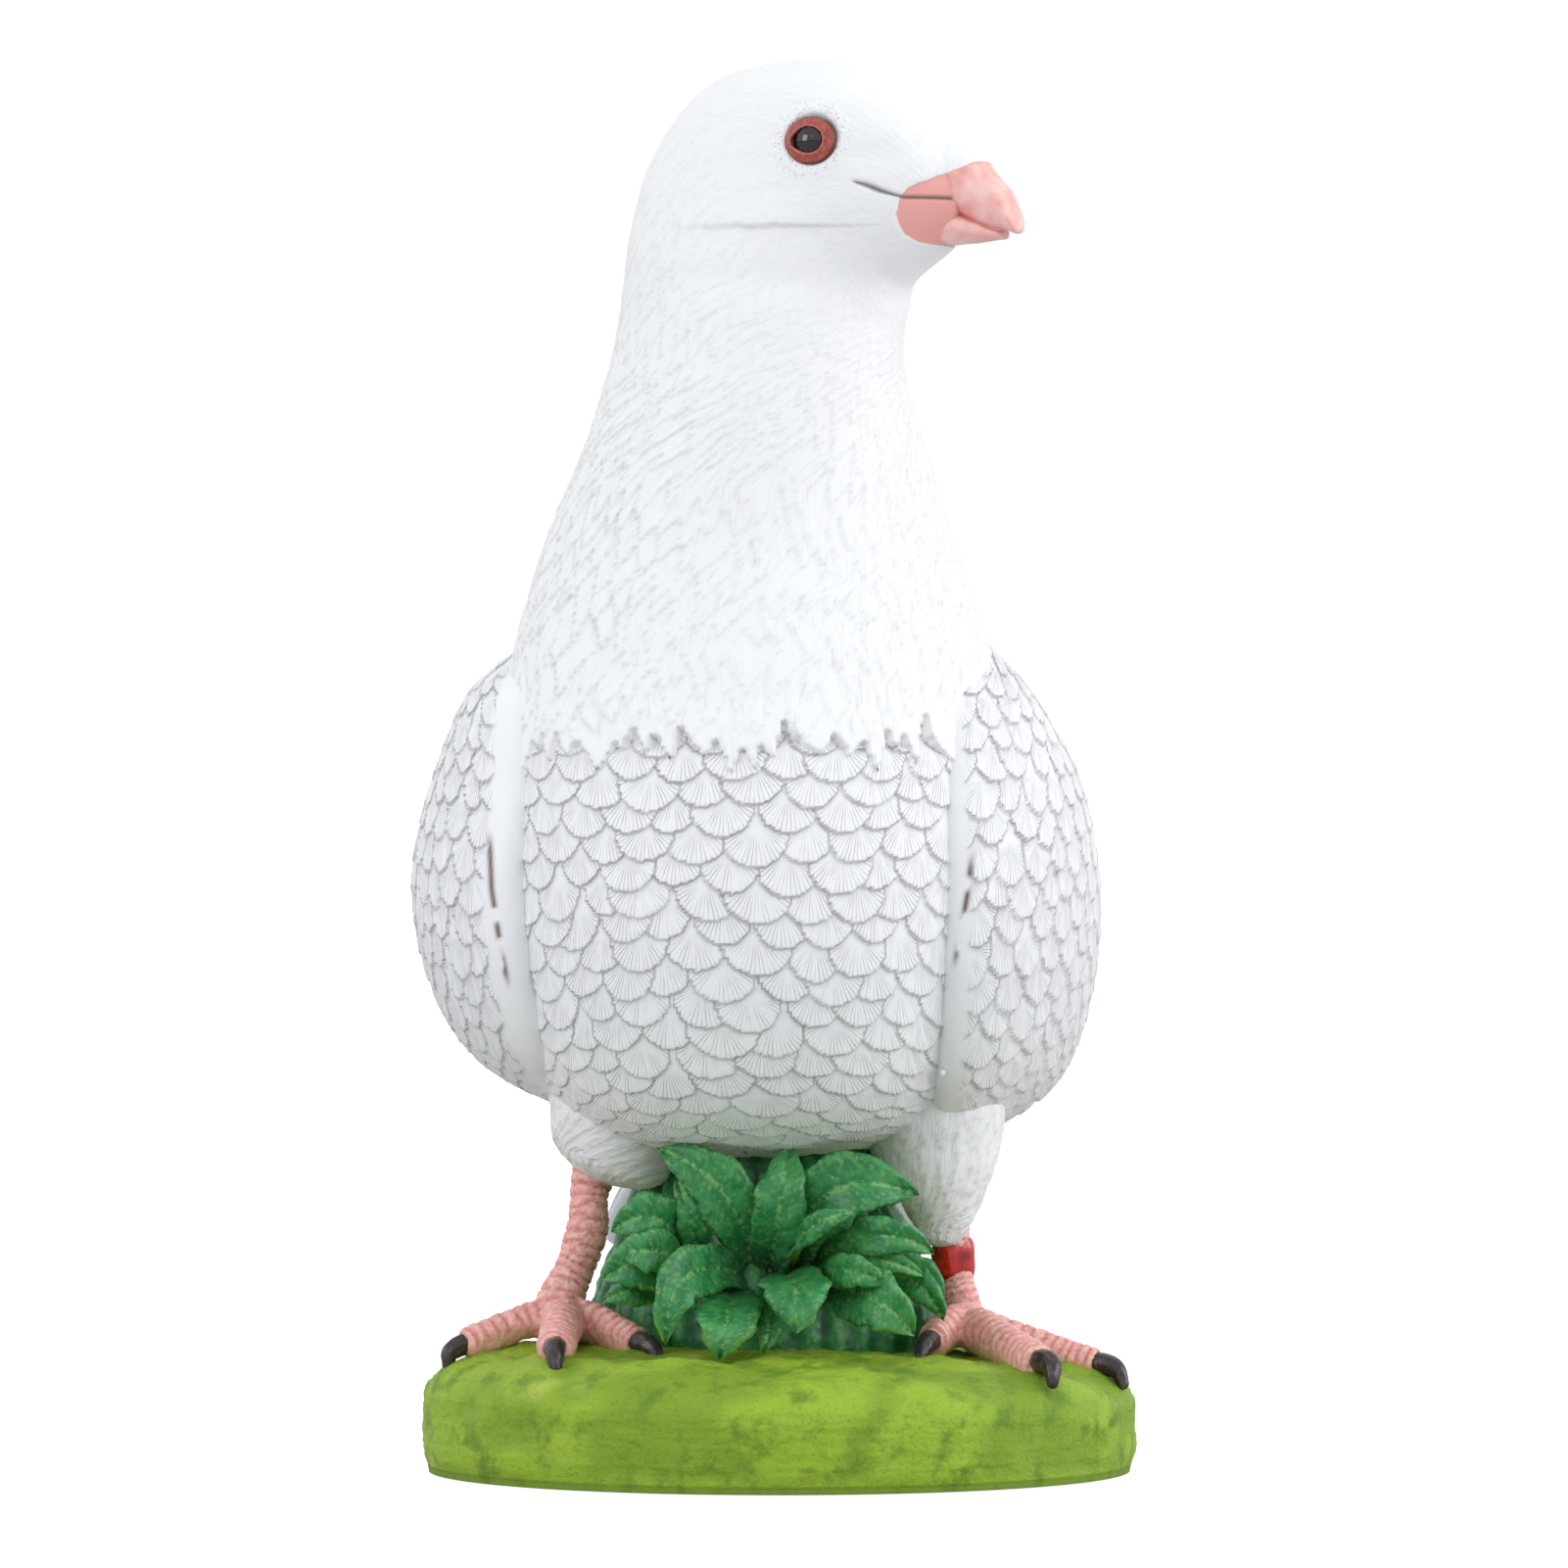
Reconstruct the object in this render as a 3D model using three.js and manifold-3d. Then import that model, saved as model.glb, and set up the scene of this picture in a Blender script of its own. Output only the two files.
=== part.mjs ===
// A life-size white pigeon, cast in resin and painted, standing on a mossy mound with a leafy plant
// under its belly. The whole figure is one casting, and the two glass eyes are set in afterwards.
// Millimetres, +Z up. The bird faces -Y and turns its head towards +X, which is its own left.
// The origin is the middle of the flat underside.

import * as THREE from 'three';
import { mergeVertices } from 'three/addons/utils/BufferGeometryUtils.js';
import Module from 'manifold-3d';

const wasm = await Module();
wasm.setup();

// Driving dimensions
const BASE_HALF_WIDTH = 69;
const BASE_HALF_DEPTH = 66;
const BASE_EDGE_HEIGHT = 13;
const BASE_CROWN_HEIGHT = 24.5;
const BASE_SLANT = 1.2;
const BASE_CORNER = 2;
const EYE_RADIUS = 4.5;
const SOCKET_CLEARANCE = 0.35;
const RING_RADIUS = 4.3;
const RING_LOW = 36.6;
const RING_HIGH = 45.2;
const LEAF_THICKNESS = 2.2;
const TURN = Math.PI / 180;

// The head and the trunk each have an upright axis, and turn about it by their own angle.
const HEAD = { x: -3.8, y: 2, yaw: 65 };
const TRUNK = { x: -5.4, y: 0, yaw: -5 };

const PAINT = {
  white: new THREE.MeshStandardMaterial({ color: 0xf1f2f4, roughness: 0.55, metalness: 0 }),
  eye: new THREE.MeshStandardMaterial({ color: 0x0b0708, roughness: 0.08, metalness: 0 }),
};

/** Uniform cubic through the rows of a table, each row a list of numbers; s runs from 0 to the last row. */
function along(rows, s) {
  const last = rows.length - 1;
  const i = Math.min(Math.floor(s), last - 1);
  const x = s - i;
  const b = rows[i];
  const c = rows[i + 1];
  const a = rows[i - 1] ?? b.map((v, k) => 2 * v - c[k]);
  const d = rows[i + 2] ?? c.map((v, k) => 2 * v - b[k]);
  return b.map((v, k) => 0.5 * (2 * v + (c[k] - a[k]) * x
    + (2 * a[k] - 5 * v + 4 * c[k] - d[k]) * x * x
    + (3 * v - a[k] - 3 * c[k] + d[k]) * x * x * x));
}

/** A point given by its reach forward, its reach to the bird's right and its height, on a turned axis. */
function onAxis(axis, forward, right, up) {
  const c = Math.cos(axis.yaw * TURN);
  const s = Math.sin(axis.yaw * TURN);
  return new THREE.Vector3(axis.x + s * forward - c * right, axis.y - c * forward - s * right, up);
}

/** Closed skin over rings of points; each end is a pole at the middle of its ring. */
function skin(rings) {
  const count = rings[0].length;
  const points = rings.flat();
  const triangles = [];
  rings.slice(1).forEach((ring, r) => {
    for (let k = 0; k < count; k += 1) {
      const a = r * count + k;
      const b = r * count + (k + 1) % count;
      triangles.push(a, b, b + count, a, b + count, a + count);
    }
  });
  const cap = (ring, start, flip) => {
    const pole = points.length;
    const middle = new THREE.Vector3();
    ring.forEach((p) => middle.addScaledVector(p, 1 / count));
    points.push(middle);
    for (let k = 0; k < count; k += 1) {
      const a = start + k;
      const b = start + (k + 1) % count;
      triangles.push(pole, flip ? b : a, flip ? a : b);
    }
  };
  cap(rings[0], 0, true);
  cap(rings.at(-1), (rings.length - 1) * count, false);
  let volume = 0;
  for (let t = 0; t < triangles.length; t += 3) {
    const [p, q, r] = [points[triangles[t]], points[triangles[t + 1]], points[triangles[t + 2]]];
    volume += p.dot(q.clone().cross(r));
  }
  if (volume < 0) triangles.reverse();
  const geometry = new THREE.BufferGeometry();
  geometry.setAttribute('position', new THREE.Float32BufferAttribute(points.flatMap((p) => p.toArray()), 3));
  geometry.setIndex(triangles);
  return geometry;
}

/** A closed geometry as a solid that can be joined and cut. */
function solid(geometry) {
  const shape = geometry.clone();
  shape.deleteAttribute('normal');
  shape.deleteAttribute('uv');
  const merged = mergeVertices(shape, 1e-4);
  return new wasm.Manifold(new wasm.Mesh({
    numProp: 3,
    vertProperties: new Float32Array(merged.attributes.position.array),
    triVerts: new Uint32Array(merged.index.array),
  }));
}

/** A solid back as a geometry. */
function surface(body) {
  const mesh = body.getMesh();
  const geometry = new THREE.BufferGeometry();
  geometry.setAttribute('position', new THREE.Float32BufferAttribute(mesh.vertProperties, 3));
  geometry.setIndex([...mesh.triVerts]);
  geometry.computeVertexNormals();
  return geometry;
}

/** Rings of a loft: count rings of sides points, each worked out from its table row and an angle. */
function rings(rows, count, sides, point) {
  return Array.from({ length: count }, (_, i) => {
    const s = (rows.length - 1) * i / (count - 1);
    const row = along(rows, s);
    return Array.from({ length: sides }, (__, k) => point(row, 2 * Math.PI * k / sides, s));
  });
}

/** Cosine and sine squared out by a power: 2 is an ellipse, more is boxier. */
function squared(angle, power) {
  const bend = (v) => Math.sign(v) * Math.abs(v) ** (2 / power);
  return [bend(Math.cos(angle)), bend(Math.sin(angle))];
}

// Head, neck, breast and rump as one skin. Each row: reach and height of the throat or breast line,
// reach and height of the crown or back line, half width, turn of the section, its axis, squareness.
const BODY = [
  [43, 238, 45.5, 249, 5.5, 65, -3.8, 2, 2.1],
  [38, 234.5, 40.8, 256, 10.5, 65, -3.8, 2, 2.15],
  [33.5, 231.5, 33.2, 265.3, 14.5, 65, -3.8, 2, 2.2],
  [30.5, 229, 21.5, 271.5, 17.4, 65, -3.8, 2, 2.2],
  [29.5, 226.5, 7.5, 273, 18.8, 65, -3.8, 2, 2.2],
  [29.3, 224, -8.3, 269.3, 20, 65, -3.8, 2, 2.2],
  [29, 221, -19.5, 257.6, 22, 63, -3.8, 2, 2.1],
  [29, 217, -25.5, 242, 24.5, 55, -3.8, 2, 2],
  [29.5, 210, -28.5, 222, 27.2, 40, -3.8, 2, 2],
  [30.5, 198, -33, 202, 32.3, 22, -3.9, 1, 2],
  [34.5, 178, -38, 184, 39, 6, -5.2, 0, 2],
  [43, 157, -46, 167, 45, -3, -5.4, 0, 2],
  [52, 134, -56, 149, 49.5, -5, -5.4, 0, 2],
  [56, 112, -66, 132, 51, -5, -5.4, 0, 2.05],
  [53, 91, -75, 117, 50, -5, -5.4, 0, 2.1],
  [43, 74, -84, 104, 47.5, -5, -5.4, 0, 2.15],
  [26, 64.5, -93, 92, 43, -5, -5.4, 0, 2.2],
  [0, 60, -102, 81, 37, -4, -5.4, 0, 2.2],
  [-30, 55, -111, 71, 32, -3, -5.4, 0, 2.2],
  [-60, 49, -118, 62.5, 28, -2, -5.4, 0, 2.2],
  [-84, 46, -124, 56, 23, -1, -5.4, 0, 2.2],
  [-98, 47, -128, 52, 15, -1, -5.4, 0, 2.2],
];

function bodySkin() {
  return skin(rings(BODY, 34, 24, (row, angle) => {
    const [f0, z0, f1, z1, half, yaw, x, y, power] = row;
    const [c, s] = squared(angle, power);
    const mix = (a, b) => (a + b) / 2 + (b - a) / 2 * c;
    return onAxis({ x, y, yaw }, mix(f0, f1), half * s, mix(z0, z1));
  }));
}

// A folded wing. Each row: reach and height of the front edge, reach and height of the back edge,
// distance out from the trunk's middle, half thickness, how far the front edge tucks in and the
// back edge wraps over the back,
// and how much further out and lower the bird's left wing sits than its right one.
const WING = [
  [4, 156.5, -20, 162, 43.5, 2.5, 1, 2, -0.3, 0],
  [22, 149, -42, 152, 46.9, 8, 5, 13, -1.2, 0],
  [31, 132, -56, 136, 50, 13, 8, 23, -0.2, 0],
  [34, 114, -67, 121, 52.3, 14.5, 9, 29, -0.6, 0],
  [32, 96, -77, 108, 52, 14.5, 9.5, 31, -0.2, -0.5],
  [22, 79, -87, 96, 49.3, 13.5, 9.5, 30, 0.3, -2],
  [2, 69.5, -97, 85, 44.3, 12, 8, 27, 0.8, -3],
  [-28, 63, -107, 75.5, 33, 10, 6, 19, 2, -3],
  [-60, 58.5, -117, 67.5, 24, 7.5, 4, 13, 2, -2],
  [-92, 54, -127, 59.5, 17, 5, 2, 9, 1, -1],
  [-122, 49.5, -136, 51.5, 10, 2.4, 0.5, 4, 0, 0],
];

function wingSkin(side) {
  const last = WING.length - 1;
  return skin(rings(WING, 17, 14, (row, angle, s) => {
    const [f0, z0, f1, z1, out, half, tuck, wrap, bias, drop] = row;
    const c = Math.cos(angle);
    const mix = (a, b) => (a + b) / 2 + (a - b) / 2 * c;
    const axis = { ...TRUNK, yaw: TRUNK.yaw * (1 - 0.8 * (s / last) ** 2) };
    const reach = out - side * bias + half * Math.sin(angle) - (c > 0 ? tuck : wrap) * c * c;
    return onAxis(axis, mix(f0, f1), side * reach, mix(z0, z1) - side * drop);
  }));
}

// The fanned tail. Each row: reach, height, half width, half thickness, arch of the fan.
const TAIL = [
  [-45, 61, 19, 5, 2],
  [-80, 54, 26.5, 5, 2.5],
  [-110, 47, 31, 4.2, 3],
  [-135, 41, 33, 3.2, 3],
  [-146, 38.3, 31.5, 2.4, 2.6],
  [-152, 36.8, 25, 1.4, 1.8],
];

function tailSkin() {
  const axis = { ...TRUNK, yaw: -1 };
  return skin(rings(TAIL, 9, 16, (row, angle) => {
    const [forward, up, half, thick, arch] = row;
    const [c, s] = squared(angle, 2.6);
    return onAxis(axis, forward + 2 * s, half * c, up + thick * s + arch * (0.5 - c * c));
  }));
}

/** A round limb along points [x, y, z, half width, half height], with rounded ends. */
function limb(points, count, sides, round = 0.9) {
  const level = new THREE.Vector3(0, 0, 1);
  const last = points.length - 1;
  const middle = (t) => new THREE.Vector3(...along(points, t * last).slice(0, 3));
  const length = points.slice(1).reduce((sum, p, i) => sum + Math.hypot(
    p[0] - points[i][0], p[1] - points[i][1], p[2] - points[i][2]), 0);
  const dome = (d, reach) => Math.sqrt(Math.max(0.0016, 1 - Math.max(0, 1 - d / reach) ** 2));
  return skin(Array.from({ length: count }, (_, i) => {
    const even = i / (count - 1);
    const t = 0.5 * even + 0.25 * (1 - Math.cos(Math.PI * even));
    const row = along(points, t * last);
    const ahead = middle(Math.min(1, t + 0.01)).sub(middle(Math.max(0, t - 0.01))).normalize();
    const side = ahead.clone().cross(level).normalize();
    const top = side.clone().cross(ahead);
    const shrink = dome(t * length, round * points[0][3]) * dome((1 - t) * length, round * points[last][3]);
    return Array.from({ length: sides }, (__, k) => {
      const angle = 2 * Math.PI * k / sides;
      return middle(t).addScaledVector(side, row[3] * shrink * Math.cos(angle))
        .addScaledVector(top, row[4] * shrink * Math.sin(angle));
    });
  }));
}

// Limbs of each side, as points with half widths: feathered thigh, scaled leg, three front toes
// with their claws, and the short hind toe.
const RIGHT_SIDE = {
  thigh: [[-30, 14, 88, 16, 22], [-31, 5, 72, 13.5, 19], [-32, 0.5, 62, 11.5, 13], [-34, -0.5, 55.5, 7.5, 7]],
  leg: [[-35, 4, 62, 4.6, 5], [-36.8, 2, 54, 3.6, 4.2], [-37.2, 0, 47, 4, 4.3],
    [-39.3, -1.5, 40, 3.5, 3.9], [-42.2, -4, 33, 4.8, 4.6], [-42.4, -6, 27, 6.4, 5.4]],
  toes: [
    [[-43, -5, 30, 4.2, 4.4], [-49, -7, 29.2, 3, 3.4], [-55.5, -9.5, 26.6, 2.8, 3.4], [-61.5, -12, 24.4, 2.7, 3.4]],
    [[-41.5, -6, 30, 4.8, 4.6], [-41.8, -17, 28.4, 4, 4.4], [-42.4, -26, 26.2, 3.8, 4], [-42.7, -32, 24.8, 3.5, 3.6]],
    [[-41, -5, 30, 4.2, 4.4], [-34.8, -11, 28.4, 3.2, 4], [-30, -17, 26.4, 3.1, 3.8], [-26.6, -20.5, 25.2, 3, 3.6]],
  ],
  claws: [
    [[-59.4, -11, 25.6, 2.2, 2.2], [-63.2, -13.4, 23.6, 1.6, 1.9], [-63.9, -14.4, 19.6, 0.8, 1]],
    [[-42.7, -29.6, 25.8, 2.4, 2.2], [-42.7, -35.6, 25, 2, 2.1], [-42.2, -39, 21, 0.9, 1]],
    [[-28.8, -18.6, 26.2, 2.4, 2.2], [-24.6, -23, 25, 1.9, 2.1], [-23.2, -24.6, 21.4, 0.8, 1]],
  ],
  hind: [[-40, 2, 28, 3.4, 3.6], [-35, 9, 26, 2.6, 3], [-31.5, 15, 24, 2, 2.2]],
};
const LEFT_SIDE = {
  thigh: [[27, 14, 88, 17, 22], [29.5, 4, 72, 14.2, 19], [31, -0.5, 60, 11.2, 12], [31.3, -2.5, 50, 6.6, 6.5],
    [30.4, -3.4, 43.4, 2.6, 3]],
  leg: [[33.4, 5, 62, 4.6, 5], [33.8, 2.5, 54, 3.6, 4], [33.9, 0.6, 46, 2.9, 3.6],
    [34.3, 0, 38, 2.9, 3.4], [35.2, -2, 32.6, 3.5, 4], [36.4, -4.5, 26, 5.6, 5]],
  toes: [
    [[36, -3.5, 27.8, 4, 4.6], [47, -5, 24.8, 3, 3.8], [55, -7, 22.2, 2.8, 3.6], [62, -9.5, 20.4, 2.7, 3.4]],
    [[37, -5, 28, 4.6, 4.8], [41.6, -15.6, 25.9, 4, 4.4], [46.4, -25.4, 23.6, 3.8, 4.2], [50, -33, 22.2, 3.6, 3.9]],
    [[36, -4.5, 28.4, 4, 4.6], [32.8, -9.4, 28, 3.4, 4], [30.4, -14, 26.4, 3.1, 3.8], [29.2, -18, 25.4, 3, 3.6]],
  ],
  claws: [
    [[59.4, -8.6, 21.4, 2.3, 2.3], [64.6, -10.8, 20.4, 1.7, 1.9], [66.7, -12, 16.4, 0.8, 1]],
    [[49, -30.6, 23.2, 2.6, 2.4], [51.6, -37.2, 22.6, 2.1, 2.2], [51.9, -40, 18.4, 0.9, 1]],
    [[29.6, -15.8, 26.4, 2.4, 2.3], [27.8, -21.6, 25, 1.8, 2], [26.9, -24, 21, 0.8, 1]],
  ],
  hind: [[36, 2, 27, 3.4, 3.6], [31, 8, 26, 2.6, 3], [28, 13.5, 24, 2, 2.2]],
};

function limbsOf(side) {
  return [
    limb(side.thigh, 9, 12),
    limb(side.leg, 9, 10),
    ...side.toes.map((toe) => limb(toe, 7, 8)),
    ...side.claws.map((claw) => limb(claw, 5, 6)),
    limb(side.hind, 5, 6),
  ];
}

/** The red leg ring: a lathed band with soft edges, a little lopsided as it was cast. */
function legRing() {
  const half = (RING_HIGH - RING_LOW) / 2;
  const profile = Array.from({ length: 7 }, (_, i) => {
    const [c, s] = squared(-Math.PI / 2 + Math.PI * i / 6, 3.4);
    return new THREE.Vector2(i === 0 || i === 6 ? 0 : RING_RADIUS * (0.55 + 0.45 * c), half * s);
  });
  const ring = new THREE.LatheGeometry(profile, 16);
  ring.rotateX(Math.PI / 2);
  ring.scale(1.03, 0.95, 1);
  ring.translate(33.9, 0.5, (RING_HIGH + RING_LOW) / 2);
  return ring;
}

// The bill. Each row: reach, height of its top and bottom, half width.
const UPPER_BILL = [[26, 256.5, 247, 7.4], [36, 256.6, 244.4, 6.8], [42, 256, 242.4, 6.2],
  [46, 254.2, 240.8, 5.7], [49.4, 250.6, 239.6, 5.1], [52.6, 246.9, 239.2, 4.4], [54.5, 242.8, 238.6, 3.2],
  [55.2, 240.4, 238.8, 1.4]];
const LOWER_BILL = [[28, 247, 234, 6.8], [37, 245, 236.2, 6.2], [45, 242.4, 237, 5], [51.6, 239.6, 237.6, 2.8]];

function bill(rows, count) {
  return skin(rings(rows, count, 10, ([forward, top, bottom, half], angle) => {
    const [c, s] = squared(angle, 2.2);
    return onAxis(HEAD, forward, half * c, (top + bottom) / 2 + (top - bottom) / 2 * s);
  }));
}

/** The mound: an oval, flat below, with a bulging side that rolls over into a low dome. */
function mound() {
  const sides = 28;
  const ring = ([scale, up, slant]) => Array.from({ length: sides }, (_, k) => {
    const [c, s] = squared(2 * Math.PI * k / sides, BASE_CORNER);
    return new THREE.Vector3(BASE_HALF_WIDTH * scale * c, BASE_HALF_DEPTH * scale * s, up - slant * scale * c);
  });
  const wall = [[0.985, 0, 0], [0.998, 5, 0], [1, BASE_EDGE_HEIGHT, BASE_SLANT]];
  const dome = Array.from({ length: 6 }, (_, i) => {
    const scale = 1 - ((i + 1) / 7) ** 1.9;
    const rise = Math.sqrt(1 - scale ** 8) * (1 - 0.2 * scale);
    return [scale, BASE_EDGE_HEIGHT + (BASE_CROWN_HEIGHT - BASE_EDGE_HEIGHT) * rise, BASE_SLANT];
  });
  return skin([...wall, ...dome].map(ring));
}

// The clump of stems under the belly. Each row: height, half width, half depth, middle across, middle back.
const CLUMP = [[16, 33, 27, -3, 12], [30, 33.5, 27, -3, 12], [44, 29, 24, -3, 14], [56, 24, 22, -4, 16], [70, 21, 22, -5, 20]];
const STEM_COUNT = 14;

function clump() {
  const sides = 2 * STEM_COUNT;
  return skin(rings(CLUMP, 5, sides, ([up, wide, deep, x, y], angle) => {
    const rib = 1 + 0.035 * Math.cos(STEM_COUNT * angle);
    return new THREE.Vector3(x + wide * rib * Math.cos(angle), y + deep * rib * Math.sin(angle), up);
  }));
}

// Leaves: base, middle and tip of the midrib, half width, tilt of the blade in degrees, fold at the midrib.
const LEAVES = [
  [[-5, -6, 37.2], [-9.9, -24, 54], [-22.9, -20, 63], 6, -25, 1.5],
  [[-4.9, -6, 38.7], [-6.3, -16, 50.2], [-8.6, -16, 59.7], 3, 0, 1],
  [[-1.8, -6, 37.8], [-0.1, -24, 51.5], [1.9, -18, 63.5], 5.2, 10, 1.5],
  [[0.8, -6, 38.5], [10.2, -23, 54.7], [26, -19, 54.1], 7, 20, 2],
  [[2.1, -6, 39], [6, -28, 47.8], [14.1, -27, 50.9], 2.6, 10, 1],
  [[5.7, -6, 39.3], [17.7, -25, 46.5], [29.1, -22, 43.2], 4, 25, 1.4],
  [[7.4, -6, 38.5], [17.7, -24, 42], [27.7, -20, 38.6], 2.6, 30, 1],
  [[19.7, -6, 37.9], [26.7, -20, 37], [31.4, -17, 30.3], 3.2, 30, 1],
  [[15.9, -6, 36.6], [25.3, -14, 38.8], [31.5, -12, 33.2], 4, 20, 1],
  [[6.4, -6, 36.9], [13, -29, 40.1], [21.1, -32, 37.5], 3.4, 35, 1],
  [[8.7, -6, 35], [17.6, -31, 35.1], [25.4, -33, 28.6], 6, 30, 1.5],
  [[0.8, -6, 37.6], [3, -33, 36.5], [3.2, -37, 29.3], 6.6, 0, 1.6],
  [[-8.6, -6, 35], [-9.8, -33, 31.4], [-11.1, -37, 24.4], 6.4, 0, 1.6],
  [[-2, -6, 34.5], [-1.8, -28, 30.2], [-2.9, -31, 24.6], 2.6, 0, 0.8],
  [[-5, -6, 36.8], [-17.5, -31, 39.4], [-22.1, -34, 26.8], 5.2, -30, 1.6],
  [[-16, -6, 37.3], [-25.4, -25, 41.3], [-33.1, -24, 38.5], 5.6, -25, 1.5],
  [[-16.5, -6, 38.3], [-23.5, -27, 43.6], [-30.1, -25, 42.8], 4.6, -25, 1.4],
  [[-16.3, -6, 39.2], [-23.2, -24, 49.5], [-31.5, -22, 47.5], 5.2, -25, 1.6],
  [[-16, -6, 39.2], [-16.8, -22, 48.6], [-19.7, -19, 57.3], 2.8, -10, 0.9],
  [[-21.8, -6, 34], [-27.3, -24, 36.1], [-33.3, -25, 34.3], 3.2, -25, 1],
];

/** One leaf: a thin blade with a folded midrib, widest past its middle and pointed at its tip. */
function leaf([base, middle, tip, half, tilt, fold]) {
  const curve = new THREE.QuadraticBezierCurve3(
    new THREE.Vector3(...base),
    new THREE.Vector3(...middle).multiplyScalar(2).addScaledVector(new THREE.Vector3(...base), -0.5)
      .addScaledVector(new THREE.Vector3(...tip), -0.5),
    new THREE.Vector3(...tip),
  );
  const steps = 5;
  return skin(Array.from({ length: steps }, (_, i) => {
    const t = i / (steps - 1);
    const ahead = curve.getTangent(t);
    const front = new THREE.Vector3(0, -0.9, 0.44);
    const side = ahead.clone().cross(front).normalize().applyAxisAngle(ahead, tilt * TURN);
    const face = side.clone().cross(ahead);
    const wide = half * (0.22 + 0.78 * Math.sin(Math.PI * Math.min(1, 0.12 + t) ** 1.15)) * (t < 1 ? 1 : 0.06);
    const thick = LEAF_THICKNESS * (t < 1 ? 1 - 0.5 * t : 0.2);
    const across = [[-1, 0.1], [-0.5, 0.5], [0, 1], [0.5, 0.5], [1, 0.1], [0, -0.35]];
    return across.map(([u, w]) => curve.getPoint(t).addScaledVector(side, wide * u)
      .addScaledVector(face, thick * (w - 0.5) + fold * Math.abs(u)));
  }));
}

/** Middle of an eye bead on the bird's right (1) or left (-1) cheek. */
function eyeMiddle(side) {
  return onAxis(HEAD, 19.2, side * 15.4, 256.4);
}

function ball(radius, middle) {
  const sphere = new THREE.IcosahedronGeometry(radius, 2);
  sphere.translate(...middle.toArray());
  return sphere;
}

function casting() {
  const pieces = [
    bodySkin(),
    wingSkin(1),
    wingSkin(-1),
    tailSkin(),
    ...limbsOf(RIGHT_SIDE),
    ...limbsOf(LEFT_SIDE),
    legRing(),
    bill(UPPER_BILL, 9),
    bill(LOWER_BILL, 5),
    mound(),
    clump(),
    ...LEAVES.map(leaf),
  ];
  const joined = pieces.map(solid).reduce((sum, piece) => sum.add(piece));
  return [1, -1].reduce((rest, side) => rest.subtract(
    solid(ball(EYE_RADIUS + SOCKET_CLEARANCE, eyeMiddle(side)))), joined);
}

function named(name, geometry, material) {
  const mesh = new THREE.Mesh(geometry, material);
  mesh.name = name;
  return mesh;
}

const pigeon = new THREE.Group();
pigeon.add(named('pigeon_statue', surface(casting()), PAINT.white));
pigeon.add(named('right_eye', ball(EYE_RADIUS, eyeMiddle(1)), PAINT.eye));
pigeon.add(named('left_eye', ball(EYE_RADIUS, eyeMiddle(-1)), PAINT.eye));

export default pigeon;
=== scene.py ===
"""A white pigeon statue in painted cast resin, on a mossy mound with a leafy plant under its belly.

Lengths are in millimetres until a mesh is made. +Z is up, the bird faces -Y and turns its bill towards +X.
Every surface is a grid of points worked out from two parameters, and its feathers, scales, veins or moss are
heights added along the normals of that grid.
"""

import logging
import math
from dataclasses import dataclass
from enum import Enum
from itertools import product
from typing import Iterable, Sequence

import bpy
import numpy as np
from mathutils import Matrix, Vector


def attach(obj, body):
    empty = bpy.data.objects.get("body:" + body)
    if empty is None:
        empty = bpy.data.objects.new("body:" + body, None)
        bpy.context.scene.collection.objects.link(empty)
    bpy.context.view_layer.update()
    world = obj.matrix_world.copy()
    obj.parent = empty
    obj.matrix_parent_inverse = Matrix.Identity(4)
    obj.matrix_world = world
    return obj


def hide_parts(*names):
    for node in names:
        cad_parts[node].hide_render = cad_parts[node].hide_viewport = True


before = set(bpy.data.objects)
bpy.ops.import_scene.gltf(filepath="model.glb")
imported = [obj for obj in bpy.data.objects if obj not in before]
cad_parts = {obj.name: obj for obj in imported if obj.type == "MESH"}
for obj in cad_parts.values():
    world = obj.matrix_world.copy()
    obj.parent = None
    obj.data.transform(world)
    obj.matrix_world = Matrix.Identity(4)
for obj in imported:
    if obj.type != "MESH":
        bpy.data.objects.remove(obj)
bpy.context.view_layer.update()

LOG = logging.getLogger("pigeon")
Array = np.ndarray
MM = 0.001
BODY = "root"
STATUE = "pigeon_statue"
FULL_TURN = 2.0 * math.pi


class Paint(Enum):
    """Material slots of the part."""

    WHITE = "white_paint"
    PINK = "pink_paint"
    CLAW = "claw_paint"
    RED = "red_enamel"
    LID = "lid_paint"
    EYE = "eye_gloss"
    LEAF = "leaf_paint"
    MOSS = "moss_paint"


class Side(Enum):
    """The bird's own sides, with the sign of their reach to its right."""

    RIGHT = 1
    LEFT = -1


class Tip(Enum):
    """Outline of a feather's tip."""

    ROUND = "round"
    POINTED = "pointed"


def smooth(low: float, high: float, x: Array) -> Array:
    """0 at low, 1 at high and 3tt - 2ttt between them, where t is the share of the way.

    Args:
        low: where the ramp starts.
        high: where it ends, which may be below low.
        x: values to ramp.

    Returns:
        The ramp, between 0 and 1.
    """
    t = np.clip((x - low) / (high - low), 0.0, 1.0)
    return t * t * (3.0 - 2.0 * t)


def bell(x: Array, width: float) -> Array:
    """A bump of height 1 at x = 0: the exponential of minus the square of x over width."""
    return np.exp(-((x / width) ** 2))


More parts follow.
